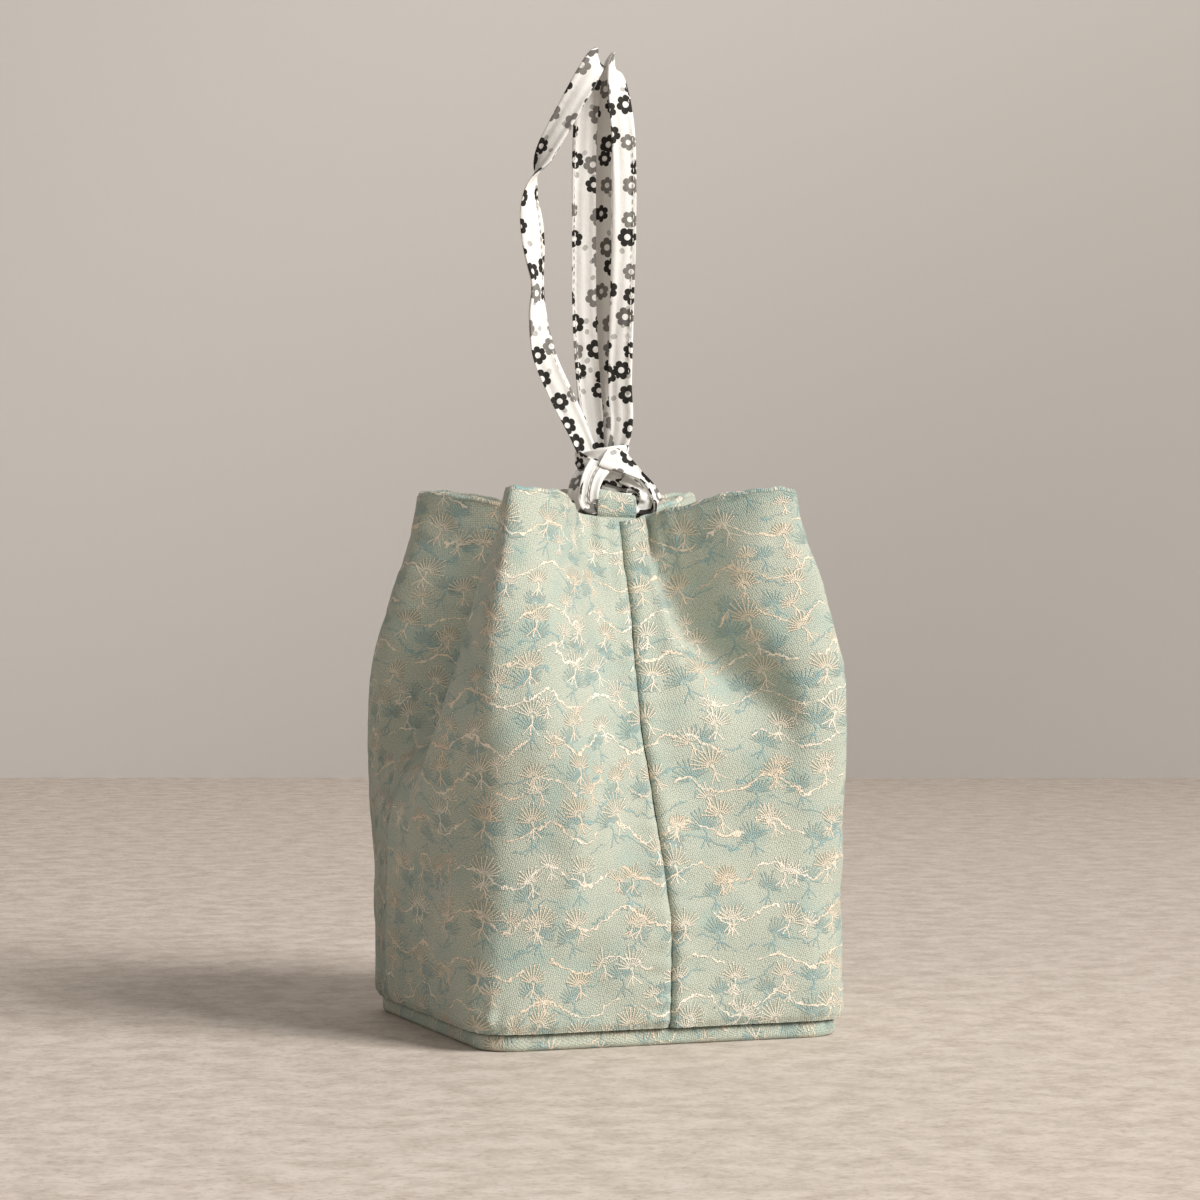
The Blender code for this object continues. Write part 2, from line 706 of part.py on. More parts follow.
def knot():
    """The overhand knot that ties both tapes, as one plain lump."""
    bm = bmesh.new()
    bmesh.ops.create_uvsphere(bm, u_segments=16, v_segments=10, radius=1.0)
    bmesh.ops.scale(bm, verts=bm.verts, vec=(KNOT_HALF_WIDTH, KNOT_HALF_DEPTH, KNOT_HALF_HEIGHT))
    bmesh.ops.translate(bm, verts=bm.verts, vec=(0, 0, KNOT_HEIGHT))
    return add_mesh("drawstring_knot", bm, TAPE)


def ring_route(corner, reach, height):
    """A tape's way round through all four loops, from one corner of the mouth back to it."""
    corners = [Vector((-1, -1)), Vector((1, -1)), Vector((1, 1)), Vector((-1, 1))]
    route = []
    for k in range(4):
        here = corners[(corner + k) % 4] * reach
        after = corners[(corner + k + 1) % 4] * reach
        route += [(*here.lerp(after, share), height) for share in (0.22, 0.5, 0.78)]
    return route


def raised(points, height):
    """Points moved up to a height."""
    return [(x, y, z + height) for x, y, z in points]


def drawstring_rings():
    """Both tapes, from the knot down, round through the loops and back up to it."""
    _, _, tunnel = loop_section("front")
    upper = tunnel[1] + TAPE_BULK / 2 + GAP
    lower = tunnel[1] - TAPE_BULK / 2 - GAP
    route_a = [
        *knot_end(-0.55, -0.55, -0.65),
        *raised(RISE_A, upper),
        *ring_route(0, tunnel[0], upper),
        *raised(FALL_A, upper),
        *knot_end(-0.85, -0.20, -0.15)[::-1],
    ]
    route_b = [
        *knot_end(0.62, -0.62, -0.20),
        *raised(RISE_B, lower),
        *ring_route(1, tunnel[0], lower),
        *raised(FALL_B, lower),
        *knot_end(0.25, -0.80, -0.30)[::-1],
    ]
    tape("drawstring_a_ring", route_a, TAPE_BULK, RING_POINTS)
    tape("drawstring_b_ring", route_b, TAPE_BULK, RING_POINTS)


def turned(across, away, up):
    """A point of a handle loop, turned with the loops about the pouch's axis."""
    cos, sin = math.cos(HANDLE_TURN), math.sin(HANDLE_TURN)
    return (across * cos - away * sin, across * sin + away * cos, up)


def handle_loops():
    """The two loops of tape that stand up from the knot."""
    ends = {
        "a": ((-0.62, -0.20, 0.75), HANDLE_A, (-0.35, 0.15, 0.90)),
        "b": ((0.55, -0.15, 0.80), HANDLE_B, (0.25, 0.35, 0.85)),
    }
    for name, (start, points, end) in ends.items():
        route = [
            *knot_end(*turned(*start)),
            *(turned(across, away, up + KNOT_HEIGHT) for across, away, up in points),
            *knot_end(*turned(*end))[::-1],
        ]
        tape(f"handle_loop_{name}", route, HANDLE_BULK, HANDLE_POINTS)


def build():
    """The whole pouch."""
    clear_scene()
    base_panel()
    floor_layers()
    walls()
    for side in SIDES:
        brocade_loop(f"loop_{side}", side)
    knot()
    drawstring_rings()
    handle_loops()


build()
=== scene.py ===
"""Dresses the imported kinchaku: a square-based, lightly padded brocade drawstring pouch.

The wall's form is worked out here from the same sizes as its solids, at a finer step, and gets the
cloth's seams, rolls, gathers and puckers. Patterns follow each cloth's own UV map, in metres.
"""

from __future__ import annotations

import logging
import math
from collections.abc import Callable
from dataclasses import dataclass, field
from enum import Enum

import bmesh
import bpy
import numpy as np
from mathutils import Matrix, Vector, noise

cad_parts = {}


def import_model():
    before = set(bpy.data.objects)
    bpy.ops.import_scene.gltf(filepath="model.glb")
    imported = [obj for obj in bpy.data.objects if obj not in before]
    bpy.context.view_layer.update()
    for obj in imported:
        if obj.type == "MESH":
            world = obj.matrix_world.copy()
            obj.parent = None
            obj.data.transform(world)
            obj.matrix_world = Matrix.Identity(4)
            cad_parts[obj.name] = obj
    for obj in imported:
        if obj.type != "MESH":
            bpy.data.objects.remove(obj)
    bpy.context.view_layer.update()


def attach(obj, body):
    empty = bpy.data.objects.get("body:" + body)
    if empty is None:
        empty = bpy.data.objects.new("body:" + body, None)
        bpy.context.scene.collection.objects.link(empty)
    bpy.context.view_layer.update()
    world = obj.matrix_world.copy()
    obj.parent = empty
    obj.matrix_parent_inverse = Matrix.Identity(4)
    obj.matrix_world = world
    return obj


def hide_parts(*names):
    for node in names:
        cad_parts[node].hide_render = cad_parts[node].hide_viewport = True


LOG = logging.getLogger("kinchaku")
ROOT = "root"
GAP = 0.0003
MM = 0.001

Socket = bpy.types.NodeSocket
Keys = tuple[tuple[float, float], ...]
Colour = tuple[float, float, float, float]


class Side(Enum):
    """The pouch's four sides: outward direction, then the direction along the side."""

    FRONT = ((0, -1), (1, 0))
    RIGHT = ((1, 0), (0, 1))
    BACK = ((0, 1), (-1, 0))
    LEFT = ((-1, 0), (0, -1))

    @property
    def ways(self) -> tuple[np.ndarray, np.ndarray]:
        """The outward direction and the direction along the side."""
        return tuple(np.array(way, float) for way in self.value)


class Hand(Enum):
    """Which of a pair of wall panels a piece is, as the sign of its X."""

    LEFT = -1
    RIGHT = 1


def arithmetic(operation: str, swapped: bool = False) -> Callable[[Value, object], Value]:
    """A method that adds a Math node to a value, with the value second if swapped."""
    return lambda one, other: one.net.math(operation, *((other, one) if swapped else (one, other)))


class Value:
    """What a node puts out. Arithmetic on it adds Math nodes."""

    __add__, __radd__ = arithmetic("ADD"), arithmetic("ADD", True)
    __sub__, __rsub__ = arithmetic("SUBTRACT"), arithmetic("SUBTRACT", True)
    __mul__, __rmul__ = arithmetic("MULTIPLY"), arithmetic("MULTIPLY", True)
    __truediv__, __rtruediv__ = arithmetic("DIVIDE"), arithmetic("DIVIDE", True)
    __pow__ = arithmetic("POWER")

    def __init__(self, net: Net, socket: Socket) -> None:
        """Keeps the net and the output."""
        self.net = net
        self.socket = socket

    def __abs__(self) -> Value:
        """The value without its sign."""
        return self.net.math("ABSOLUTE", self)


class Net:
    """A node tree with short calls that add a node and give back its output."""

    def __init__(self, tree: bpy.types.NodeTree) -> None:
        """Keeps the tree that nodes are added to."""
        self.tree = tree

    def node(self, kind: str, inputs: dict | None = None, **settings: object) -> bpy.types.Node:
        """Adds a node, sets its properties and feeds its inputs.

        Args:
            kind: the node's type name.
            inputs: what its inputs get, by name or place.
            settings: property names and values.

        Returns:
            The new node.
        """
        made = self.tree.nodes.new(kind)
        for name, value in settings.items():
            setattr(made, name, value)
        for key, value in (inputs or {}).items():
            self.feed(made.inputs[key], value)
        return made

    def feed(self, target: Socket, value: object) -> None:
        """Links a socket to an input, or sets the input's value.

        Args:
            target: the input.
            value: an output, a number, a colour or a vector.
        """
        if isinstance(value, Value):
            value = value.socket
        if isinstance(value, bpy.types.NodeSocket):
            self.tree.links.new(value, target)
        elif value is not None:
            target.default_value = value

    def math(self, operation: str, *values: object, clamp: bool = False) -> Value:
        """Adds a Math node.

        Args:
            operation: the operation's name.
            values: its inputs in order.
            clamp: whether the result is kept within 0 and 1.

        Returns:
            The result.
        """
        made = self.node("ShaderNodeMath", dict(enumerate(values)), operation=operation, use_clamp=clamp)
        return Value(self, made.outputs[0])

    def vector(self, operation: str, *values: object, scale: object = None) -> Value:
        """Adds a Vector Math node.

        Args:
            operation: the operation's name.
            values: its vector inputs in order.
            scale: the scale input, where it has one.

        Returns:
            The result, a vector or a number.
        """
        made = self.node("ShaderNodeVectorMath", dict(enumerate(values)), operation=operation)
        if scale is not None:
            self.feed(made.inputs["Scale"], scale)
        numbers = operation in ("LENGTH", "DISTANCE", "DOT_PRODUCT")
        return Value(self, made.outputs["Value" if numbers else "Vector"])

    def split(self, vector: object) -> tuple[Value, Value, Value]:
        """The three parts of a vector."""
        made = self.node("ShaderNodeSeparateXYZ", {0: vector})
        return tuple(Value(self, output) for output in made.outputs)

    def join(self, x: object, y: object, z: object = 0.0) -> Value:
        """A vector from three parts."""
        return Value(self, self.node("ShaderNodeCombineXYZ", {0: x, 1: y, 2: z}).outputs[0])

    def step(self, value: object, low: object, high: object) -> Value:
        """Eases a value from 0 at low to 1 at high; low may be above high."""
        inputs = {"Value": value, "From Min": low, "From Max": high}
        made = self.node("ShaderNodeMapRange", inputs, interpolation_type="SMOOTHSTEP", clamp=True)
        return Value(self, made.outputs["Result"])

    def blend(self, share: object, start: object, end: object) -> Value:
        """Mixes two colours.

        Args:
            share: how much of the second.
            start: the first colour.
            end: the second colour.

        Returns:
            The mixed colour.
        """
        made = self.node("ShaderNodeMix", data_type="RGBA", blend_type="MIX", clamp_factor=True)
        for place, value in ((0, share), (6, start), (7, end)):
            self.feed(made.inputs[place], value)
        return Value(self, made.outputs[2])

    def noise(self, vector: object, scale: float, detail: float = 2.0, rough: float = 0.5) -> Value:
        """Smooth noise between 0 and 1.

        Args:
            vector: where it is read.
            scale: its frequency.
            detail: its octaves.
            rough: how strong the finer octaves are.

        Returns:
            The noise value.
        """
        inputs = {"Vector": vector, "Scale": scale, "Detail": detail, "Roughness": rough}
        return Value(self, self.node("ShaderNodeTexNoise", inputs, noise_dimensions="3D").outputs[0])

    def cells(self, vector: object, wander: object) -> tuple[Value, Value, Value]:
        """The nearest of the points scattered one to each unit square.

        Args:
            vector: where it is read, in units of a cell.
            wander: how far the points leave their grid, 0 to 1.

        Returns:
            The distance, a random colour for the cell, and the point's place.
        """
        inputs = {"Vector": vector, "Scale": 1.0, "Randomness": wander}
        made = self.node("ShaderNodeTexVoronoi", inputs, voronoi_dimensions="2D", distance="EUCLIDEAN")
        return tuple(Value(self, made.outputs[name]) for name in ("Distance", "Color", "Position"))

    def uv(self) -> Value:
        """The piece's own UV map, in metres."""
        return Value(self, self.node("ShaderNodeUVMap", uv_map="cloth").outputs[0])

    def bump(self, height: object, depth: float, distance: float) -> Value:
        """A normal bent by a height.

        Args:
            height: the height, 0 to 1.
            depth: the bump's strength.
            distance: how high 1 stands, in metres.

        Returns:
            The bent normal.
        """
        inputs = {"Strength": depth, "Distance": distance, "Height": height}
        return Value(self, self.node("ShaderNodeBump", inputs).outputs[0])


class GroupKit:
    """The shader groups that several finishes share, each made once."""

    @staticmethod
    def start(name: str, inputs: dict[str, float], outputs: tuple[str, ...]) -> tuple[Net, dict, dict]:
        """Starts a group that reads a vector and some numbers.

        Args:
            name: the group's name.
            inputs: each number's name and default.
            outputs: the names of its results, all numbers.

        Returns:
            The group's net, its inputs by name, and its outputs by name.
        """
        tree = bpy.data.node_groups.new(name, "ShaderNodeTree")
        tree.interface.new_socket(name="Vector", in_out="INPUT", socket_type="NodeSocketVector")
        for key, default in inputs.items():
            socket = tree.interface.new_socket(name=key, in_out="INPUT", socket_type="NodeSocketFloat")
            socket.default_value = default
        for key in outputs:
            tree.interface.new_socket(name=key, in_out="OUTPUT", socket_type="NodeSocketFloat")
        net = Net(tree)
        given = net.node("NodeGroupInput").outputs
        result = net.node("NodeGroupOutput").inputs
        values = {key: Value(net, given[key]) for key in ("Vector", *inputs)}
        return net, values, {key: result[key] for key in outputs}

    @classmethod
    def use(cls, net: Net, name: str, **values: object) -> dict[str, Value]:
        """Puts a group into a net.

        Args:
            net: the net that uses it.
            name: the group's name.
            values: its inputs.

        Returns:
            The group's outputs by name.
        """
        makers = {"Pine sprig": cls.sprig, "Twig": cls.twig, "Weave": cls.weave, "Flower print": cls.flowers}
        tree = bpy.data.node_groups.get(name) or makers[name](name)
        made = net.node("ShaderNodeGroup", values, node_tree=tree)
        return {socket.name: Value(net, socket) for socket in made.outputs}

    @classmethod
    def sprig(cls, name: str) -> bpy.types.NodeTree:
        """A fan of pine needles on a forked stem, one to each cell of the cloth, with a second mask for a
        painted shadow line beside the needles.

        Args:
            name: the group's name.

        Returns:
            The group's tree.
        """
        net, given, result = cls.start(
            name,
            {
                "Cell": 0.018,
                "Squash": 0.9,
                "Offset": 0.0,
                "Wander": 0.5,
                "Reach": 0.0075,
                "Needles": 12.0,
                "Yarn": 0.00055,
            },
            ("Mask", "Shadow_line", "Tone"),
        )
        x, y, _ = net.split(given["Vector"])
        across = x / given["Cell"] + given["Offset"]
        row_height = given["Cell"] * given["Squash"]
        up = y / row_height + given["Offset"]
        place = net.join(across, up)
        _, colour, centre = net.cells(place, given["Wander"])
        red, green, blue = net.split(colour)
        dx, dy, _ = net.split(net.vector("SUBTRACT", place, centre))
        local = net.join(dx * given["Cell"], dy * row_height)
        leaning = {"Vector": local, "Angle": red - 0.5}
        spin = net.node("ShaderNodeVectorRotate", leaning, rotation_type="Z_AXIS")
        lx, ly, _ = net.split(spin.outputs[0])
        reach = given["Reach"] * (green * 0.35 + 0.8)
        ly = ly + reach * 0.30
        radius = net.vector("LENGTH", net.join(lx, ly))
        angle = net.math("ARCTAN2", lx, ly)
        spread = 1.45
        shifted = angle / (2 * spread) * given["Needles"] + 0.5
        which = net.math("FLOOR", shifted)
        offset = abs(net.math("FRACT", shifted) - 0.5)
        width = 2 * spread / given["Needles"] * radius
        off_line = offset * width
        seed = net.join(which + blue * 37.0, red)
        uneven = net.node("ShaderNodeTexWhiteNoise", {"Vector": seed}, noise_dimensions="2D")
        chance = Value(net, uneven.outputs[0])
        crown = 1.0 - abs(angle) ** 2.0 * 0.10
        long = reach * (chance * 0.30 + 0.72) * crown
        half = given["Yarn"] * 0.5
        soft = given["Yarn"] * 0.85
        line = net.step(off_line, soft, half * 0.6)
        start = net.step(radius, reach * 0.10, reach * 0.20)
        stop = net.step(radius, long, long * 0.95)
        fan = net.step(abs(angle), spread, spread * 0.97)
        twist = net.math("SINE", radius * (2 * math.pi / (0.9 * MM)))
        beads = twist * 0.18 + 0.82
        needles = line * start * (stop * fan) * beads
        from_tip = net.join(off_line / given["Yarn"], (radius - long) / given["Yarn"])
        tip = net.step(net.vector("LENGTH", from_tip), 1.0, 0.6)
        tip = tip * fan * net.math("GREATER_THAN", chance, 0.45)
        heart = net.step(radius, reach * 0.12, reach * 0.06) * 0.6
        bend = net.math("SINE", ly * 900.0) * (0.35 * MM)
        off_stem = abs(lx + bend)
        below = net.step(ly, 0.2 * MM, -0.2 * MM)
        stem_long = reach * -0.78
        above_end = net.step(ly, stem_long, stem_long * 0.93)
        stem = net.step(off_stem, soft, half)
        fork_at = ly + reach * 0.30
        fork_off = abs(abs(lx) + fork_at * 0.85)
        fork = net.step(fork_off, soft, half) * net.step(fork_at, 0.1 * MM, -0.1 * MM)
        stem = net.math("MAXIMUM", stem, fork) * (below * above_end)
        figure = net.math("MAXIMUM", needles, tip)
        mask = net.math("MAXIMUM", figure, net.math("MAXIMUM", heart, stem), clamp=True)
        # A wider band round the needles, less the needles themselves: the painted shadow line beside the
        # raised yarn.
        near = net.step(off_line, given["Yarn"] * 2.0, given["Yarn"] * 0.9)
        edge = near * start * (stop * fan)
        net.feed(result["Mask"], mask)
        net.feed(result["Shadow_line"], net.math("SUBTRACT", edge, mask, clamp=True))
        net.feed(result["Tone"], blue)
        return net.tree

    @classmethod
    def twig(cls, name: str) -> bpy.types.NodeTree:
        """Wandering, knotty lines of yarn across the cloth.

        Args:
            name: the group's name.

        Returns:
            The group's tree.
        """
        net, given, result = cls.start(
            name,
            {
                "Spacing": 0.019,
                "Swing": 0.0035,
                "Yarn": 0.0006,
                "Phase": 0.0,
                "Bare": 0.5,
            },
            ("Mask",),
        )
        x, y, _ = net.split(given["Vector"])
        x = x + given["Phase"]
        far = net.join(x, y, given["Phase"])
        wave = net.math("SINE", x * (2 * math.pi / (33 * MM))) * given["Swing"]
        rough = (net.noise(far, 130.0, 2.0) - 0.5) * (9 * MM)
        kink = (net.noise(far, 700.0, 1.0) - 0.5) * (2.2 * MM)
        at = y + wave + (rough + kink)
        lane = at / given["Spacing"]
        off = abs(net.math("FRACT", lane) - 0.5)
        off = off * given["Spacing"]
        knots = net.noise(far, 900.0, 0.0)
        thick = given["Yarn"] * (knots * 1.5 + 0.15)
        line = net.step(off, thick, thick * 0.6)
        gate = net.noise(net.vector("ADD", far, (3.1, 1.7, 0.0)), 62.0, 1.0)
        shown = net.step(gate, given["Bare"], given["Bare"] + 0.05)
        net.feed(result["Mask"], net.math("MULTIPLY", line, shown, clamp=True))
        return net.tree

    @classmethod
    def weave(cls, name: str) -> bpy.types.NodeTree:
        """The fine grain of a woven cloth.

        Args:
            name: the group's name.

        Returns:
            The group's tree.
        """
        net, given, result = cls.start(name, {"Pitch": 0.0007, "Slant": 0.5}, ("Height", "Fibre"))
        x, y, _ = net.split(given["Vector"])
        along = x + y * given["Slant"]
        up = y - x * given["Slant"]
        place = net.join(along / given["Pitch"], up / given["Pitch"])
        away, _, _ = net.cells(place, 0.45)
        pebble = net.step(away, 0.62, 0.12)
        net.feed(result["Height"], pebble)
        net.feed(result["Fibre"], net.noise(given["Vector"], 1500.0, 2.0))
        return net.tree

    @classmethod
    def flowers(cls, name: str) -> bpy.types.NodeTree:
        """A small scattered print of round-petalled flowers with pale middles.

        Args:
            name: the group's name.

        Returns:
            The group's tree.
        """
        net, given, result = cls.start(
            name,
            {
                "Cell": 0.0088,
                "Petals": 6.0,
                "Reach": 0.0037,
                "Middle": 0.0011,
                "Wander": 0.55,
            },
            ("Ink", "Tone"),
        )
        place = net.vector("DIVIDE", given["Vector"], net.join(given["Cell"], given["Cell"], 1.0))
        _, colour, centre = net.cells(place, given["Wander"])
        red, green, blue = net.split(colour)
        apart = net.vector("SCALE", net.vector("SUBTRACT", place, centre), scale=given["Cell"])
        x, y, _ = net.split(apart)
        radius = net.vector("LENGTH", net.join(x, y))
        angle = net.math("ARCTAN2", y, x) + red * 6.28
        lobe = abs(net.math("COSINE", angle * (given["Petals"] * 0.5)))
        lobe = lobe ** 0.55 * 0.30 + 0.70
        size = green * 0.22 + 0.80
        edge = lobe * given["Reach"] * size
        petal = net.step(radius, edge, edge - 0.12 * MM)
        middle = given["Middle"] * size
        ring = net.step(radius, middle, middle + 0.12 * MM)
        net.feed(result["Ink"], petal * ring)
        net.feed(result["Tone"], blue)
        return net.tree


def principled(
    name: str, roughness: float, specular: float,
) -> tuple[bpy.types.Material, Net, bpy.types.Node]:
    """Starts a material.

    Args:
        name: its name.
        roughness: its roughness, the same all over.
        specular: how strongly it mirrors.

    Returns:
        The material, its net, and its Principled shader.
    """
    made = bpy.data.materials.new(name)
    made.use_nodes = True
    shader = made.node_tree.nodes["Principled BSDF"]
    shader.inputs["Roughness"].default_value = roughness
    shader.inputs["Specular IOR Level"].default_value = specular
    return made, Net(made.node_tree), shader


@dataclass(frozen=True)
class Finish:
    """A cloth's or board's material."""

    name: str

    SPECULAR = 0.3

    def begin(self, roughness: float) -> tuple[bpy.types.Material, Net, bpy.types.Node]:
        """Starts the material.

        Args:
            roughness: its roughness, the same all over.

        Returns:
            The material, its net, and its Principled shader.
        """
        return principled(self.name, roughness, self.SPECULAR)

    def material(self) -> bpy.types.Material:
        """The finished material, made once."""
        return bpy.data.materials.get(self.name) or self.build()

    def build(self) -> bpy.types.Material:
        """Makes the material."""
        raise NotImplementedError


@dataclass(frozen=True)
class BrocadeFinish(Finish):
    """Sage figured brocade with raised pine sprigs in cream and aqua yarn, with painted shade in the weave's
    gaps and beside the yarn, and painted highlights on the weave's pebbles.
    """

    ground: Colour = (0.46, 0.495, 0.41, 1.0)
    ground_deep: Colour = (0.375, 0.425, 0.355, 1.0)
    # The painted highlight on the weave's raised pebbles.
    pebble_highlight: Colour = (0.66, 0.675, 0.57, 1.0)
    cream: Colour = (0.86, 0.69, 0.51, 1.0)
    pale: Colour = (0.94, 0.86, 0.72, 1.0)
    aqua: Colour = (0.20, 0.395, 0.43, 1.0)
    haze: Colour = (0.285, 0.435, 0.40, 1.0)
    shadow: Colour = (0.26, 0.29, 0.20, 1.0)

    def build(self) -> bpy.types.Material:
        """Makes the brocade."""
        made, net, shader = self.begin(0.68)
        shader.inputs["Sheen Weight"].default_value = 0.25
        shader.inputs["Sheen Roughness"].default_value = 0.45
        uv = net.uv()
        weave = GroupKit.use(net, "Weave", Vector=uv, Pitch=0.80 * MM, Slant=0.3)
        fan = GroupKit.use(
            net, "Pine sprig", Vector=uv, Cell=21.5 * MM, Squash=0.9, Offset=0.0,
            Wander=0.42, Reach=8.4 * MM, Needles=11.0, Yarn=0.47 * MM,
        )
        small = GroupKit.use(
            net, "Pine sprig", Vector=uv, Cell=25.0 * MM, Squash=0.86, Offset=0.47,
            Wander=0.85, Reach=6.4 * MM, Needles=9.0, Yarn=0.45 * MM,
        )
        cool = GroupKit.use(
            net, "Pine sprig", Vector=uv, Cell=20.0 * MM, Squash=0.95, Offset=0.31,
            Wander=0.6, Reach=8.6 * MM, Needles=12.0, Yarn=0.42 * MM,
        )
        twigs = GroupKit.use(net, "Twig", Vector=uv, Spacing=17 * MM, Yarn=0.62 * MM, Phase=0.013, Bare=0.41)
        cool_twigs = GroupKit.use(
            net, "Twig", Vector=uv, Spacing=13 * MM, Yarn=0.45 * MM, Phase=0.21, Bare=0.47,
        )
        warm_mask = net.math("MAXIMUM", net.math("MAXIMUM", fan["Mask"], small["Mask"]), twigs["Mask"])
        cool_mask = net.math("MAXIMUM", cool["Mask"], cool_twigs["Mask"])
        patch = net.noise(uv, 26.0, 2.0)
        ground = net.blend(net.step(patch, 0.35, 0.68), self.ground, self.ground_deep)
        # Painted shade darkens the weave's gaps, and a painted highlight lightens the pebbles' tops.
        ground = net.blend(net.step(weave["Height"], 0.45, 0.0) * 0.34, ground, self.shadow)
        ground = net.blend(weave["Height"] * 0.62, ground, self.pebble_highlight)
        hazy = net.noise(net.vector("ADD", uv, (0.7, 0.2, 0.0)), 55.0, 1.0)
        ground = net.blend(net.step(hazy, 0.45, 0.70) * 0.35, ground, self.haze)
        # Painted shadow: the ground darkens in a thin line beside the raised yarn.
        yarn_shadow = net.math("MAXIMUM", fan["Shadow_line"], cool["Shadow_line"] * 0.5)
        ground = net.blend(yarn_shadow * 0.45, ground, self.shadow)
        ragged = net.step(weave["Fibre"], 0.30, 0.52)
        tint = net.blend(cool_mask * (ragged * 0.72), ground, self.aqua)
        yarn = net.blend(fan["Tone"], self.cream, self.pale)
        cover = ragged * 0.35 + 0.58
        colour = net.blend(warm_mask * cover, tint, yarn)
        net.feed(shader.inputs["Base Color"], colour)
        raised = net.math("MAXIMUM", warm_mask, cool_mask * 0.7)
        height = raised + weave["Height"] * 0.32
        height = height + weave["Fibre"] * 0.35
        net.feed(shader.inputs["Normal"], net.bump(height, 0.9, 0.55 * MM))
        return made


@dataclass(frozen=True)
class PlainClothFinish(Finish):
    """A plain fine cotton, for the lining."""

    colour: Colour = (0.60, 0.42, 0.33, 1.0)
    light: Colour = (0.72, 0.54, 0.44, 1.0)

    def build(self) -> bpy.types.Material:
        """Makes the cotton."""
        made, net, shader = self.begin(0.85)
        uv = net.uv()
        weave = GroupKit.use(net, "Weave", Vector=uv, Pitch=0.6 * MM, Slant=0.0)
        patch = net.noise(uv, 60.0, 3.0)
        shade = patch * 0.6 + weave["Height"] * 0.3
        net.feed(shader.inputs["Base Color"], net.blend(shade, self.colour, self.light))
        height = weave["Height"] + patch * 2.0
        net.feed(shader.inputs["Normal"], net.bump(height, 0.5, 0.2 * MM))
        return made


@dataclass(frozen=True)
class TapeFinish(Finish):
    """White cotton tape with a small scattered print in black and grey."""

    white: Colour = (0.86, 0.845, 0.815, 1.0)
    shade: Colour = (0.79, 0.77, 0.74, 1.0)
    black: Colour = (0.022, 0.020, 0.017, 1.0)
    grey: Colour = (0.20, 0.19, 0.175, 1.0)
    printed: bool = True
    seam: float = 0.036

    def build(self) -> bpy.types.Material:
        """Makes the tape."""
        made, net, shader = self.begin(0.82)
        uv = net.uv()
        blooms = GroupKit.use(
            net, "Flower print", Vector=uv, Cell=10.6 * MM, Reach=4.2 * MM, Middle=1.25 * MM,
        )
        buds = GroupKit.use(
            net, "Flower print", Vector=net.vector("ADD", uv, (0.0041, 0.0127, 0.0)), Cell=7.4 * MM,
            Petals=2.0, Reach=1.4 * MM, Middle=0.0, Wander=0.9,
        )
        weave = GroupKit.use(net, "Weave", Vector=uv, Pitch=0.45 * MM, Slant=0.0)
        patch = net.noise(uv, 90.0, 2.0)
        base = net.blend(patch, self.white, self.shade)
        faded = net.step(buds["Tone"], 0.45, 0.5) * 0.75
        colour = net.blend(buds["Ink"] * faded, base, (0.33, 0.32, 0.30, 1.0))
        ink = net.blend(net.step(blooms["Tone"], 0.62, 0.66), self.black, self.grey)
        colour = net.blend(blooms["Ink"], colour, ink)
        height = weave["Height"] * 0.35 + net.noise(uv, 240.0, 2.0) * 2.5
        if not self.printed:
            # The unprinted side's seam: a bump groove, with painted shade greying its crease.
            aside = net.split(uv)[0] - self.seam
            groove = net.step(abs(aside), 0.8 * MM, 0.3 * MM)
            colour = net.blend(groove * 0.75, base, self.grey)
            height = height - groove * 3.0
        net.feed(shader.inputs["Base Color"], colour)
        net.feed(shader.inputs["Normal"], net.bump(height, 0.6, 0.18 * MM))
        return made


@dataclass(frozen=True)
class ThreadFinish(Finish):
    """A twisted cotton thread, for stitches."""

    colour: Colour = (0.86, 0.84, 0.79, 1.0)
    twist: Colour = (0.70, 0.67, 0.61, 1.0)

    def build(self) -> bpy.types.Material:
        """Makes the thread."""
        made, net, shader = self.begin(0.7)
        place = net.node("ShaderNodeTexCoord").outputs["Object"]
        x, y, z = net.split(place)
        turn = (x + y + z) * (2 * math.pi / (0.35 * MM))
        ply = net.math("SINE", turn) * 0.5 + 0.5
        net.feed(shader.inputs["Base Color"], net.blend(ply, self.twist, self.colour))
        net.feed(shader.inputs["Normal"], net.bump(ply, 0.5, 0.08 * MM))
        return made


@dataclass(frozen=True)
class CardFinish(Finish):
    """Grey-brown pressed card, for the board in the base."""

    light: Colour = (0.42, 0.35, 0.26, 1.0)
    dark: Colour = (0.30, 0.25, 0.18, 1.0)

    def build(self) -> bpy.types.Material:
        """Makes the card."""
        made, net, shader = self.begin(0.9)
        place = net.node("ShaderNodeTexCoord").outputs["Object"]
        pulp = net.noise(place, 900.0, 3.0, 0.65)
        net.feed(shader.inputs["Base Color"], net.blend(pulp, self.dark, self.light))
        net.feed(shader.inputs["Normal"], net.bump(pulp, 0.5, 0.15 * MM))
        return made


BROCADE = BrocadeFinish("pine brocade")
LINING = PlainClothFinish("lining cotton")
TAPE = TapeFinish("printed tape")
PLAIN_TAPE = TapeFinish("unprinted tape", printed=False)
THREAD = ThreadFinish("white thread")
CARD = CardFinish("pressed card")


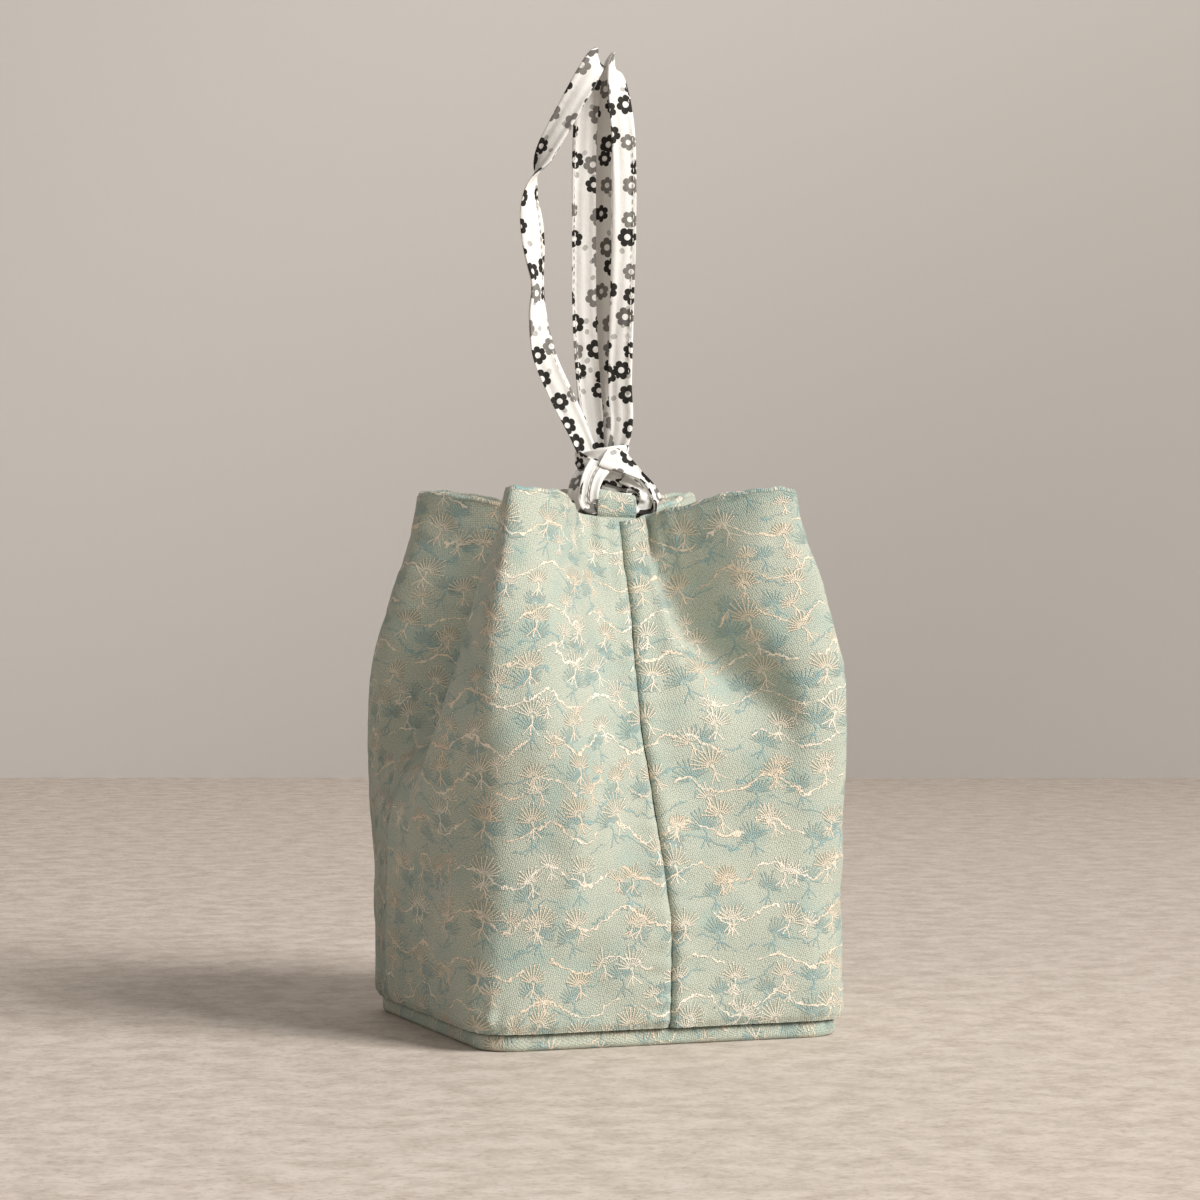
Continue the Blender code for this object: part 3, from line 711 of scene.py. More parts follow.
def keyed(keys: Keys, at: np.ndarray) -> np.ndarray:
    """Values between (place, value) keys, eased through them by a monotone cubic.

    Args:
        keys: the keys, in order of place.
        at: where the values are wanted.

    Returns:
        The value at each place.
    """
    places = np.array([key[0] for key in keys])
    values = np.array([key[1] for key in keys])
    steps = np.diff(values) / np.diff(places)
    before, after = steps[:-1], steps[1:]
    total = np.where(before + after == 0, 1.0, before + after)
    inner = np.where(before * after > 0, 2 * before * after / total, 0.0)
    slopes = np.concatenate([[steps[0]], inner, [steps[-1]]])
    at = np.clip(np.asarray(at, float), places[0], places[-1])
    k = np.clip(np.searchsorted(places, at, side="left") - 1, 0, len(steps) - 1)
    width = places[k + 1] - places[k]
    t = (at - places[k]) / width
    stay = (1 + 2 * t) * (1 - t) ** 2
    bend = slopes[k] * t * (1 - t) ** 2 + slopes[k + 1] * t * t * (t - 1)
    return values[k] * stay + values[k + 1] * (1 - stay) + width * bend


def eased(low: float, high: float, at: np.ndarray) -> np.ndarray:
    """0 below low, 1 above high, eased between."""
    t = np.clip((np.asarray(at, float) - low) / (high - low), 0.0, 1.0)
    return t * t * (3 - 2 * t)


def mix(start: object, end: object, share: object) -> object:
    """The value a share of the way from start to end."""
    return start + (end - start) * share


def bell(at: np.ndarray, middle: float, spread: float) -> np.ndarray:
    """A bell curve: 1 at its middle, falling off with its spread on both sides."""
    return np.exp(-(((at - middle) / spread) ** 2))


def distances(points: np.ndarray) -> np.ndarray:
    """Each point's distance from the first along its line, for one line or a row of them."""
    gaps = np.linalg.norm(np.diff(points, axis=0), axis=-1)
    return np.concatenate([np.zeros_like(gaps[:1]), np.cumsum(gaps, axis=0)])


def field_noise(points: np.ndarray, scale: float, seed: float) -> np.ndarray:
    """Smooth noise, about -1 to 1, at points of the cloth.

    Args:
        points: places on the cloth, in metres.
        scale: the noise's frequency for each metre.
        seed: an offset that picks the noise.

    Returns:
        The noise at each point.
    """
    flat = points.reshape(-1, 2) * scale
    found = [noise.noise(Vector((x, y, seed))) for x, y in flat]
    return np.array(found).reshape(points.shape[:-1])


@dataclass
class WallForm:
    """The wall's gathered form, from the same sizes as its solids."""

    foot: float = 0.0069
    lobe_height: float = 0.2155
    pinch_height: float = 0.2020
    half: float = 0.077
    corner_radius: float = 0.016
    belly: float = 0.002
    belly_height: float = 0.04
    lobe_reach: float = 0.0595
    lobe_tip_radius: float = 0.0075
    pinch_reach: float = 0.0215
    pinch_half_width: float = 0.009
    pinch_tuck: float = 0.0045
    fold_depth: float = 0.012
    wander_reach: float = 0.016
    rounding: float = 0.022
    fatness: float = 0.014
    bulge_height: float = 0.125
    bulge_spread: float = 0.065
    levels: int = 170
    curve_steps: int = 22
    shares: np.ndarray = field(default_factory=lambda: WallForm.spread(38))

    DRAWN_IN = {
        Side.FRONT: (
            (0.0, 0.0), (0.22, 0.0), (0.32, 0.055), (0.41, 0.11), (0.50, 0.17), (0.61, 0.28),
            (0.72, 0.44), (0.80, 0.58), (0.92, 0.85), (1.0, 1.0),
        ),
        Side.BACK: (
            (0.0, 0.0), (0.24, 0.0), (0.36, 0.12), (0.45, 0.26), (0.54, 0.45), (0.66, 0.68),
            (0.80, 0.82), (1.0, 1.0),
        ),
        Side.LEFT: (
            (0.0, 0.0), (0.38, 0.0), (0.48, 0.08), (0.58, 0.34), (0.68, 0.62), (0.84, 0.84), (1.0, 1.0),
        ),
        Side.RIGHT: (
            (0.0, 0.0), (0.34, 0.0), (0.48, 0.12), (0.60, 0.36), (0.72, 0.58), (0.86, 0.80), (1.0, 1.0),
        ),
    }
    FULLNESS = {
        (Side.FRONT, -1): ((0.0, 0.0), (0.3, 0.0), (0.6, 0.08), (0.8, 0.3), (1.0, 0.17)),
        (Side.FRONT, 1): (
            (0.0, 0.0), (0.38, 0.0), (0.50, -0.08), (0.59, -0.54), (0.646, -0.99), (0.70, -1.12),
            (0.756, -1.09), (0.81, -0.94), (0.866, -0.73), (0.92, -0.30), (1.0, 0.0),
        ),
        (Side.RIGHT, -1): ((0.4, 0.0), (0.6, 0.25), (1.0, 0.08)),
        (Side.RIGHT, 1): ((0.4, 0.0), (0.6, -0.25), (1.0, 0.0)),
        (Side.BACK, -1): ((0.3, 0.0), (0.55, -0.42), (0.75, -0.5), (1.0, 0.0)),
        (Side.BACK, 1): ((0.3, 0.0), (0.55, 0.17), (0.75, 0.25), (1.0, 0.08)),
        (Side.LEFT, -1): ((0.4, 0.0), (0.6, -0.25), (0.75, -0.42), (1.0, 0.0)),
        (Side.LEFT, 1): ((0.3, 0.0), (0.48, 0.42), (0.60, 0.75), (0.78, 0.7), (1.0, 0.08)),
    }
    FOLD_PLACE = {
        (Side.FRONT, 1): (
            (0.4, 0.8), (0.59, 0.79), (0.646, 0.70), (0.70, 0.576), (0.756, 0.41), (0.81, 0.30),
            (0.866, 0.22), (0.92, 0.17), (1.0, 0.22),
        ),
        (Side.LEFT, 1): ((0.4, 0.6), (0.6, 0.66), (0.72, 0.7), (1.0, 0.7)),
    }
    LOBE_FATNESS = {
        (Side.FRONT, 1): ((0.52, 0.0), (0.65, 0.36), (0.72, 0.7), (0.81, 1.0), (0.90, 0.75), (1.0, 0.1)),
    }
    WANDER = {
        Side.FRONT: (
            (0.0, 0.0), (0.22, 0.0), (0.40, -0.16), (0.53, -0.30), (0.61, -0.375), (0.72, -0.31),
            (0.85, -0.15), (1.0, 0.0),
        ),
        Side.RIGHT: ((0.4, 0.0), (0.55, 0.5), (1.0, 0.0)),
        Side.BACK: ((0.3, 0.0), (1.0, 0.0)),
        Side.LEFT: ((0.4, -2.6), (0.5, -2.3), (0.60, -1.2), (0.74, -0.4), (1.0, 0.0)),
    }
    ROUNDNESS = {
        Side.FRONT: ((0.1, 0.0), (0.3, 0.15), (0.6, 0.0)),
        Side.RIGHT: ((0.1, 0.0), (0.3, 0.3), (0.6, 0.0)),
        Side.BACK: ((0.1, 0.0), (0.3, 0.0), (0.6, 0.0)),
        Side.LEFT: ((0.08, 0.0), (0.22, 0.55), (0.42, 0.9), (0.60, 0.45), (0.72, 0.25), (1.0, 0.0)),
    }
    EVEN_FOLD = ((0.0, 0.55), (1.0, 0.55))
    NOT_FAT = ((0.0, 0.0), (1.0, 0.0))
    CORNER_BULGE = {Side.FRONT: 0.0022, Side.RIGHT: 0.0015, Side.BACK: 0.0045, Side.LEFT: 0.0025}
    CORNER_CLOSING = ((0.55, 0.0), (0.67, 0.10), (0.76, 0.30), (0.84, 0.56), (0.90, 0.78), (1.0, 1.0))

    @staticmethod
    def spread(count: int) -> np.ndarray:
        """Columns over half a side, closer at the seam and round the corner.

        Args:
            count: how many steps.

        Returns:
            Shares of the way from the side's middle to the corner, from 0 to 1.
        """
        even = np.linspace(0, 1, count + 1)
        return np.clip(even - 0.053 * np.sin(2 * np.pi * even), 0, 1)

    @property
    def around(self) -> np.ndarray:
        """Each column's share of the way from a side's middle to a corner, all the way round."""
        up = self.shares[:-1]
        down = self.shares[::-1][:-1]
        return np.concatenate([up, down] * len(Side))

    @property
    def cloth_u(self) -> np.ndarray:
        """Each column's place along the cloth, in metres from the front seam, all the way round."""
        up = self.shares[:-1]
        down = (2 - self.shares[::-1])[:-1]
        starts = np.arange(len(Side)) * 2.0
        return np.concatenate([np.concatenate([up, down]) + start for start in starts]) * self.half

    def radius_at(self, side: Side, share: float) -> float:
        """The radius of the corner at the end of a side, at a share of the height."""
        return self.corner_radius + self.rounding * float(keyed(self.ROUNDNESS[side], share))

    def side_points(self, side: Side, share: float) -> tuple[list[tuple[float, float]], float]:
        """The points that one side's outline passes through at a share of the height.

        Args:
            side: the side.
            share: the share of the height.

        Returns:
            The points as (along, outward) between one corner and the next, and the corner's reach.
        """
        height = share * self.lobe_height
        bulge = self.belly * bell(height, self.belly_height, self.belly_height)
        plane = self.half + bulge
        closing = float(keyed(self.CORNER_CLOSING, share))
        middle = mix(plane, self.pinch_reach, float(keyed(self.DRAWN_IN[side], share)))
        wander = float(keyed(self.WANDER[side], share)) * self.wander_reach
        tuck = self.pinch_tuck * float(eased(0.8, 1.0, share))
        sides = list(Side)
        before = sides[sides.index(side) - 1]
        halves = []
        for way, corner in ((-1, before), (1, side)):
            radius = self.radius_at(corner, share)
            shoulder_along = mix(self.half - radius, self.lobe_reach - 1.7 * self.lobe_tip_radius, closing)
            folded_out = self.lobe_reach - 0.2 * self.lobe_tip_radius
            shoulder_out = mix(mix(self.half, plane, 0.5), folded_out, closing)
            push = float(keyed(self.FULLNESS[(side, way)], share)) * self.fold_depth
            place = float(keyed(self.FOLD_PLACE.get((side, way), self.EVEN_FOLD), share))
            fat = float(keyed(self.LOBE_FATNESS.get((side, way), self.NOT_FAT), share)) * self.fatness
            shoulder_along -= fat
            shoulder_out -= fat * 0.3
            inner = wander * way + self.pinch_half_width
            fold = (mix(inner, shoulder_along, place), mix(middle, shoulder_out, place) + push)
            half = [
                (inner, middle),
                (mix(inner, fold[0], 0.4), mix(middle, fold[1], 0.22) - tuck + max(0.0, -push) * 0.2),
                fold,
                (shoulder_along, shoulder_out),
            ]
            halves.append([(way * along, out) for along, out in half])
        corner_cut = self.radius_at(side, share) * (1 - math.sqrt(0.5))
        swell = self.CORNER_BULGE[side] * bell(height, self.bulge_height, self.bulge_spread)
        tip = mix(self.half - corner_cut + swell, self.lobe_reach, closing)
        return halves[0][::-1] + [(wander, middle)] + halves[1], tip

    def outline(self, share: float) -> np.ndarray:
        """The wall's outline at a share of the height.

        Args:
            share: the share of the height.

        Returns:
            One (x, y) for each column, from the middle of the front anticlockwise.
        """
        through = []
        marks = []
        for side in Side:
            out, along = side.ways
            points, tip = self.side_points(side, share)
            marks.append(len(through) + len(points) // 2)
            through += [out * b + along * a for a, b in points]
            marks.append(len(through))
            through.append((out + along) * tip)
        dense = self.closed_curve(np.array(through))
        steps = self.curve_steps
        count = len(dense)
        stops = [mark * steps for mark in marks] + [marks[0] * steps + count]
        columns = []
        for k, (start, end) in enumerate(zip(stops, stops[1:])):
            stretch = dense[np.arange(start, end + 1) % count]
            run = distances(stretch)
            shares = self.shares if k % 2 == 0 else 1 - self.shares[::-1]
            wanted = shares[:-1] * run[-1]
            columns.append(np.stack([np.interp(wanted, run, stretch[:, axis]) for axis in (0, 1)], 1))
        return np.concatenate(columns)

    def closed_curve(self, points: np.ndarray) -> np.ndarray:
        """A closed smooth curve through points, in equal numbers of steps between them."""
        after = np.roll(points, -1, axis=0)
        before = np.roll(points, 1, axis=0)
        spans = np.sqrt(np.linalg.norm(after - points, axis=1))
        tangents = (after - before) / (np.roll(spans, 1) + spans)[:, None]
        t = (np.arange(self.curve_steps) / self.curve_steps)[None, :, None]
        stay = (1 + 2 * t) * (1 - t) ** 2
        leave = tangents[:, None] * spans[:, None, None] * t * (1 - t) ** 2
        arrive = np.roll(tangents, -1, axis=0)[:, None] * spans[:, None, None] * t * t * (t - 1)
        return (points[:, None] * stay + after[:, None] * (1 - stay) + leave + arrive).reshape(-1, 2)

    def tops(self) -> np.ndarray:
        """The mouth's height at each column, a little uneven."""
        u = self.cloth_u * 2 * math.pi
        uneven = np.sin(u / (51.3 * MM) + 1.0) + 0.7 * np.sin(u / (23.7 * MM) + 2.3)
        uneven += 0.5 * np.sin(u / (11.2 * MM))
        level = mix(self.pinch_height, self.lobe_height, np.sin(self.around * math.pi / 2) ** 1.15)
        return level + 0.45 * MM * uneven * eased(0.1, 0.3, self.around)

    def surface(self, shares: np.ndarray) -> tuple[np.ndarray, np.ndarray]:
        """The wall's surface.

        Args:
            shares: each row's share of the way from the hem to the mouth.

        Returns:
            Each row's and column's point, and its horizontal outward normal.
        """
        table = np.stack([self.outline(level) for level in np.linspace(0, 1, self.levels)])
        tops = self.tops()
        heights = mix(self.foot, tops[None, :], np.asarray(shares)[:, None])
        at = heights / tops[None, :] * (self.levels - 1)
        low = np.clip(at.astype(int), 0, self.levels - 2)
        part = (at - low)[..., None]
        columns = np.arange(len(tops))[None, :]
        flat = table[low, columns] * (1 - part) + table[low + 1, columns] * part
        tangent = np.roll(flat, -1, axis=1) - np.roll(flat, 1, axis=1)
        normal = np.stack([tangent[..., 1], -tangent[..., 0]], -1)
        normal /= np.linalg.norm(normal, axis=-1, keepdims=True)
        points = np.concatenate([flat, heights[..., None]], -1)
        return points, np.concatenate([normal, np.zeros_like(normal[..., :1])], -1)


def linked(name: str, data: bpy.types.ID) -> bpy.types.Object:
    """A new object with the given data, in the scene."""
    obj = bpy.data.objects.new(name, data)
    bpy.context.collection.objects.link(obj)
    return obj


def add_piece(name: str, mesh: bpy.types.Mesh, finish: Finish, smooth: float = 50.0) -> bpy.types.Object:
    """Links a mesh as a dressed piece that rides on the pouch.

    Args:
        name: the piece's name.
        mesh: its mesh.
        finish: its finish.
        smooth: the angle in degrees up to which edges are shaded smooth.

    Returns:
        The piece.
    """
    mesh.materials.clear()
    mesh.materials.append(finish.material())
    mesh.shade_smooth()
    mesh.set_sharp_from_angle(angle=math.radians(smooth))
    obj = linked(name, mesh)
    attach(obj, ROOT)
    LOG.info("piece %s: %d faces", name, len(mesh.polygons))
    return obj


def grid_mesh(
    name: str, points: np.ndarray, uv: np.ndarray, wrap: tuple[bool, bool], flip: bool = False,
) -> bpy.types.Mesh:
    """A mesh of quads from a grid of points, with the cloth's UV map.

    Args:
        name: the mesh's name.
        points: rows of columns of points.
        uv: the cloth's place at each point, in metres.
        wrap: whether the rows and the columns close on themselves.
        flip: whether faces turn the other way.

    Returns:
        The mesh.
    """
    rows, columns = points.shape[:2]
    made = bpy.data.meshes.new(name)
    i = np.arange(rows if wrap[0] else rows - 1)
    j = np.arange(columns if wrap[1] else columns - 1)
    a, b = np.meshgrid(i, j, indexing="ij")
    a2, b2 = (a + 1) % rows, (b + 1) % columns
    corners = [(a, b), (a, b2), (a2, b2), (a2, b)]
    if flip:
        corners = corners[::-1]
    faces = np.stack([(r * columns + c) for r, c in corners], -1).reshape(-1, 4)
    made.from_pydata(points.reshape(-1, 3).tolist(), [], faces.tolist())
    layer = made.uv_layers.new(name="cloth")
    flat = uv.reshape(-1, 2)[faces.reshape(-1)]
    layer.data.foreach_set("uv", flat.astype(np.float32).reshape(-1))
    return made


def close_ends(mesh: bpy.types.Mesh) -> bpy.types.Mesh:
    """Fills a mesh's open rims, and turns every face outwards."""
    bm = bmesh.new()
    bm.from_mesh(mesh)
    bmesh.ops.remove_doubles(bm, verts=bm.verts, dist=1e-7)
    rims = [edge for edge in bm.edges if edge.is_boundary]
    if rims:
        bmesh.ops.holes_fill(bm, edges=rims, sides=0)
    bmesh.ops.recalc_face_normals(bm, faces=bm.faces)
    bm.to_mesh(mesh)
    bm.free()
    return mesh


@dataclass
class Walls:
    """The padded brocade panels and the lining panels inside them."""

    form: WallForm
    shell: float = 0.003
    lining: float = 0.001
    seam_depth: float = 0.0019
    seam_half_width: float = 0.0011
    hem_turn: float = 0.0014
    quilt: float = 0.0011
    seam_pillow: float = 0.35 * MM
    seam_pull: float = 0.35 * MM
    pull_wave: float = 8.5 * MM
    dimples: float = 0.42 * MM
    grain: float = 0.16 * MM
    crease: float = 0.7 * MM
    gather_reach: float = 34 * MM
    pleat_height: float = 0.9 * MM
    pleat_wave: float = 7.2 * MM
    pucker_height: float = 0.35 * MM
    pucker_wave: float = 6.3 * MM
    tuck_place: float = 5.5 * MM
    tuck_height: float = 1.7 * MM
    tuck_rays: float = 0.45 * MM
    tuck_dent: float = 1.2 * MM
    rows: int = 150
    lining_drop: float = 0.004

    def row_shares(self) -> np.ndarray:
        """The rows' shares of the height on the outer face, closer at the hem and the mouth."""
        even = np.linspace(0, 1, self.rows)
        return even - 0.05 * np.sin(2 * np.pi * even)

    def columns(self, hand: Hand) -> np.ndarray:
        """A panel's columns from the front seam to the back seam."""
        count = len(self.form.around)
        steps = np.arange(count // 2 + 1)
        return steps if hand is Hand.RIGHT else (-steps) % count

    def cloth_uv(self, hand: Hand, heights: np.ndarray) -> np.ndarray:
        """The cloth's UV map on a panel, in metres.

        Args:
            hand: the panel.
            heights: each row's distance up the cloth, for each column.

        Returns:
            The UV at each row and column.
        """
        whole = len(Side) * 2 * self.form.half
        u = self.form.cloth_u[self.columns(hand)].copy()
        if hand is Hand.RIGHT:
            u[-1] = whole / 2
        else:
            u = np.where(u > 1e-9, u - whole, u)
            u[-1] = -whole / 2
        return np.stack([np.broadcast_to(u, heights.shape), heights], -1)

    def relief(self, hand: Hand, shares: np.ndarray, uv: np.ndarray) -> np.ndarray:
        """How far the padded brocade stands out of its plain form.

        Args:
            hand: the panel.
            shares: each row's share of the height.
            uv: the cloth's UV.

        Returns:
            The relief at each row and column, in metres.
        """
        u, v = uv[..., 0], uv[..., 1]
        half = self.form.half
        from_seam = np.minimum(np.abs(u), 4 * half - np.abs(u))
        groove = -self.seam_depth * bell(from_seam, 0.0, self.seam_half_width)
        pillow = self.seam_pillow * bell(from_seam, 4 * MM, 3.0 * MM)
        ripple = np.sin(v / self.pull_wave * 2 * np.pi + 2.2 * np.sin(v * 95 + hand.value))
        pull = self.seam_pull * ripple * bell(from_seam, 5 * MM, 6 * MM)
        soft = self.quilt * field_noise(uv, 38.0, 1.7 + hand.value)
        fine = self.dimples * field_noise(uv, 95.0, 5.3) + self.grain * field_noise(uv, 260.0, 2.9)
        slack = 1 - 2 * np.abs(field_noise(uv * np.array([0.55, 1.25]), 48.0, 7.7 + hand.value))
        crease = self.crease * np.clip(slack - 0.45, 0, None) * eased(0.15, 0.5, shares)[:, None]
        mouth = np.clip((shares[:, None] - 0.72) / 0.28, 0, 1) ** 1.6
        from_pinch = np.abs((u + half) % (2 * half) - half)
        gather = bell(from_pinch, 0.0, self.gather_reach)
        pleat = np.sin(from_pinch / self.pleat_wave * 2 * np.pi + 1.1 * np.sin(v * 60))
        pleats = self.pleat_height * mouth * gather * pleat * eased(3 * MM, 9 * MM, from_pinch)
        hem = bell(v, 0.0, 9 * MM)
        pucker = self.pucker_height * hem * np.sin(u / self.pucker_wave * 2 * np.pi + 2 * np.sin(u * 70))
        return groove + pillow + pull + soft + fine - crease + pleats + pucker + self.tuck(u, v)

    def tuck(self, u: np.ndarray, v: np.ndarray) -> np.ndarray:
        """The small puckered tuck at the foot of the front left corner, as relief in metres."""
        across, up = u + self.form.half, v - self.tuck_place
        ball = bell(across, 0.0, 4.2 * MM) * bell(up, 0.0, 3.2 * MM)
        ring = np.exp(-((np.hypot(across, up) - 6 * MM) / (5 * MM)) ** 2)
        rays = np.sin(9 * np.arctan2(across, up + 6 * MM)) * ring
        dent = bell(across, -6.5 * MM, 2.2 * MM) * bell(up, -2 * MM, 2.5 * MM)
        return self.tuck_height * ball + self.tuck_rays * rays - self.tuck_dent * dent

    def roll_top(self, radius: float, steps: int = 7) -> list[tuple[float, float]]:
        """A rounded edge as (depth, drop below the top), from the outer face to the inner."""
        turn = np.linspace(0, math.pi, steps)
        return [(radius * (1 - math.cos(a)), radius * (1 - math.sin(a))) for a in turn]

    def close_seams(self, grid: np.ndarray, plain: np.ndarray, hand: Hand) -> None:
        """Brings a panel's edges to its seams, just clear of the other panel.

        Args:
            grid: the panel's points, changed in place.
            plain: the wall's surface at each of them.
            hand: the panel.
        """
        for edge in (0, -1):
            grid[:, edge, 0] = plain[:, edge, 0] + hand.value * GAP / 2

    def cloth(self, hand: Hand, shares: np.ndarray) -> tuple[np.ndarray, ...]:
        """A panel's plain surface.

        Args:
            hand: which panel.
            shares: its rows' shares of the height.

        Returns:
            The points, the normals, each point's distance up the cloth, and the UV.
        """
        points, normals = self.form.surface(shares)
        picked = self.columns(hand)
        points, normals = points[:, picked], normals[:, picked]
        climb = distances(points)
        return points, normals, climb, self.cloth_uv(hand, climb)

    def piece(self, name: str, hand: Hand, rows: tuple[np.ndarray, ...], cloth: Finish) -> bpy.types.Object:
        """Makes a panel's piece, closed at its seams and ends.

        Args:
            name: its name.
            hand: which panel.
            rows: its points, the wall's surface at each of them, and its UV.
            cloth: its finish.

        Returns:
            The piece.
        """
        grid, plain, uv = rows
        self.close_seams(grid, plain, hand)
        mesh = grid_mesh(name, grid, uv, (True, False), hand is Hand.LEFT)
        close_ends(mesh)
        return add_piece(name, mesh, cloth, 60.0)

    def panel(self, hand: Hand) -> None:
        """One padded brocade panel: its outer face, the rolled mouth, the inner face and the hem.

        Args:
            hand: which panel.
        """
        name = hand.name.lower()
        shares = self.row_shares()
        points, normals, climb, uv = self.cloth(hand, shares)
        relief = self.relief(hand, shares, uv)
        turned = self.hem_turn * np.exp(-((climb / (1.7 * MM)) ** 2))
        outer = points + normals * (relief - turned)[..., None]
        radius = self.shell / 2
        inside = points - normals * (self.shell + turned)[..., None]
        roll = []
        roll_uv = []
        for depth, down in self.roll_top(radius):
            raised = (relief[-1] * (1 - depth / self.shell))[:, None]
            edge = points[-1] - normals[-1] * depth + normals[-1] * raised
            edge[:, 2] -= down
            roll.append(edge)
            roll_uv.append(np.stack([uv[-1][:, 0], climb[-1] + depth], -1))
        keep = climb[-1][None, :] - climb > radius
        last = int(np.argmin(keep.all(axis=1)))
        coarse = np.unique(np.linspace(0, last - 1, 46).astype(int))[::-1]
        rows = [outer[k] for k in range(last)] + roll + [inside[k] for k in coarse]
        far = climb[-1] + self.shell
        uv_rows = [uv[k] for k in range(last)] + roll_uv
        uv_rows += [np.stack([uv[k][:, 0], far + (climb[-1] - climb[k])], -1) for k in coarse]
        picked = [*range(last), *[-1] * len(roll), *coarse]
        made = (np.stack(rows), np.stack([points[k] for k in picked]), np.stack(uv_rows))
        obj = self.piece(f"shell_{name}", hand, made, BROCADE)
        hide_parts(f"outer_panel_{name}")

    def lining_panel(self, hand: Hand) -> None:
        """One lining panel, from the floor to just below the rolled mouth.

        Args:
            hand: which panel.
        """
        form = self.form
        name = hand.name.lower()
        top = 1 - self.lining_drop / form.lobe_height
        points, normals, climb, uv = self.cloth(hand, np.linspace(0.012, top, 90))
        slack = 0.35 * MM * (1 + field_noise(uv, 70.0, 9.1)) * eased(0, 8 * MM, climb[-1] - climb)
        near = self.shell + GAP
        face = points - normals * (near + self.lining + slack)[..., None]
        back = points - normals * near
        pairs = ((back, face), (points, points), (uv, uv))
        made = tuple(np.concatenate([one, other[::-1]]) for one, other in pairs)
        obj = self.piece(f"lining_{name}", hand, made, LINING)
        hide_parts(f"lining_panel_{name}")

    def build(self) -> None:
        """Builds both panels and both linings."""
        for hand in Hand:
            self.panel(hand)
            self.lining_panel(hand)


def rounded_square(half: float, radius: float, steps: int) -> np.ndarray:
    """A square with round corners, anticlockwise from the middle of the front.

    Args:
        half: half its side.
        radius: its corners' radius.
        steps: points along a straight side and round a corner.

    Returns:
        The points, as (x, y).
    """
    points = []
    for side in Side:
        out, along = side.ways
        straight = np.linspace(-(half - radius), half - radius, steps)
        points += [out * half + along * a for a in straight]
        centre = (out + along) * (half - radius)
        turns = np.linspace(0, math.pi / 2, steps // 2 + 2)[1:-1]
        points += [centre + out * radius * math.cos(t) + along * radius * math.sin(t) for t in turns]
    return np.array(points)


@dataclass
class Base:
    """The brocade base with its rolled rim, the card board and the floor of the lining."""

    half: float = 0.0745
    corner_radius: float = 0.015
    thickness: float = 0.003
    rim_height: float = 0.0066
    roll: float = 0.0022
    board: float = 0.0018
    board_margin: float = 0.0015
    lining: float = 0.001
    steps: int = 60

    def ring(self, inset: float, height: float, ripple: float) -> np.ndarray:
        """One level of the base, as points.

        Args:
            inset: how far inside the base's edge it is.
            height: its height.
            ripple: how far its edge waves.

        Returns:
            The level's points.
        """
        flat = rounded_square(self.half - inset, max(self.corner_radius - inset, 0.002), self.steps)
        way = np.arctan2(flat[:, 1], flat[:, 0])
        wave = ripple * (np.sin(way * 23) + 0.6 * np.sin(way * 41 + 1.3)) / 1.6
        scale = 1 + wave / self.half
        level = height + 0.5 * wave * (0.0 < height < self.rim_height)
        return np.column_stack([flat * scale[:, None], np.broadcast_to(level, len(flat))])

    def tray(self) -> None:
        """The brocade panel, turned up at its edge into the seam below the walls."""
        r = self.roll
        wave = 0.25 * MM
        turns = np.linspace(math.pi / 2, 0, 6)
        outer = [
            self.ring(1.1 * r * (1 - math.cos(a)), r * (1 - math.sin(a)), wave * (a < 1.5)) for a in turns
        ]
        side = [self.ring(0.0, h, wave) for h in np.linspace(r * 1.2, self.rim_height - r, 4)]
        top = [
            self.ring(r * (1 - math.cos(a)), self.rim_height - r * (1 - math.sin(a)), wave * (1 - a))
            for a in np.linspace(0.2, math.pi / 2, 5)
        ]
        inner = [self.ring(self.thickness, height, 0.0) for height in (self.rim_height, self.thickness)]
        straight = self.half - self.corner_radius
        floor_in = [self.ring(self.thickness + s * straight, self.thickness, 0.0) for s in (0.3, 0.6)]
        under = [self.ring(self.half * s, 0.0, 0.0) for s in (0.75, 0.45, 0.2)]
        grid = np.stack(under + outer + side + top + inner + floor_in)
        uv = grid[..., :2] + np.array([0.311, 0.207])
        rim = grid[len(under)][:, :2]
        uv = uv + rim / np.linalg.norm(rim, axis=1, keepdims=True) * grid[..., 2:3] * 0.8
        mesh = grid_mesh("base", grid, uv, (False, True))
        close_ends(mesh)
        obj = add_piece("base", mesh, BROCADE, 60.0)
        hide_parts("base_panel")

    def layer(self, name: str, inset: float, low: float, high: float, finish: Finish) -> bpy.types.Object:
        """A flat layer with softened edges, inside the base's rim.

        Args:
            name: the piece's name.
            inset: how far inside the base's edge it is.
            low: its underside's height.
            high: its top's height.
            finish: its finish.

        Returns:
            The piece.
        """
        soft = (high - low) * 0.3
        under = ((inset + 0.04, low), (inset + soft, low), (inset, low + soft))
        over = ((inset, high - soft), (inset + soft, high), (inset + 0.04, high))
        grid = np.stack([self.ring(margin, height, 0.0) for margin, height in (*under, *over)])
        mesh = grid_mesh(name, grid, grid[..., :2].copy(), (False, True))
        close_ends(mesh)
        return add_piece(name, mesh, finish, 60.0)

    def build(self) -> None:
        """Builds the tray, the board and the floor."""
        self.tray()
        low = self.thickness + GAP
        board = self.layer("card_board", low + self.board_margin, low, low + self.board, CARD)
        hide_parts("base_board")
        floor_low = low + self.board + GAP
        floor = self.layer("floor_cloth", low, floor_low, floor_low + self.lining, LINING)
        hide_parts("lining_floor")
        2 * (self.half - self.thickness)
        2 * (self.half - self.thickness)


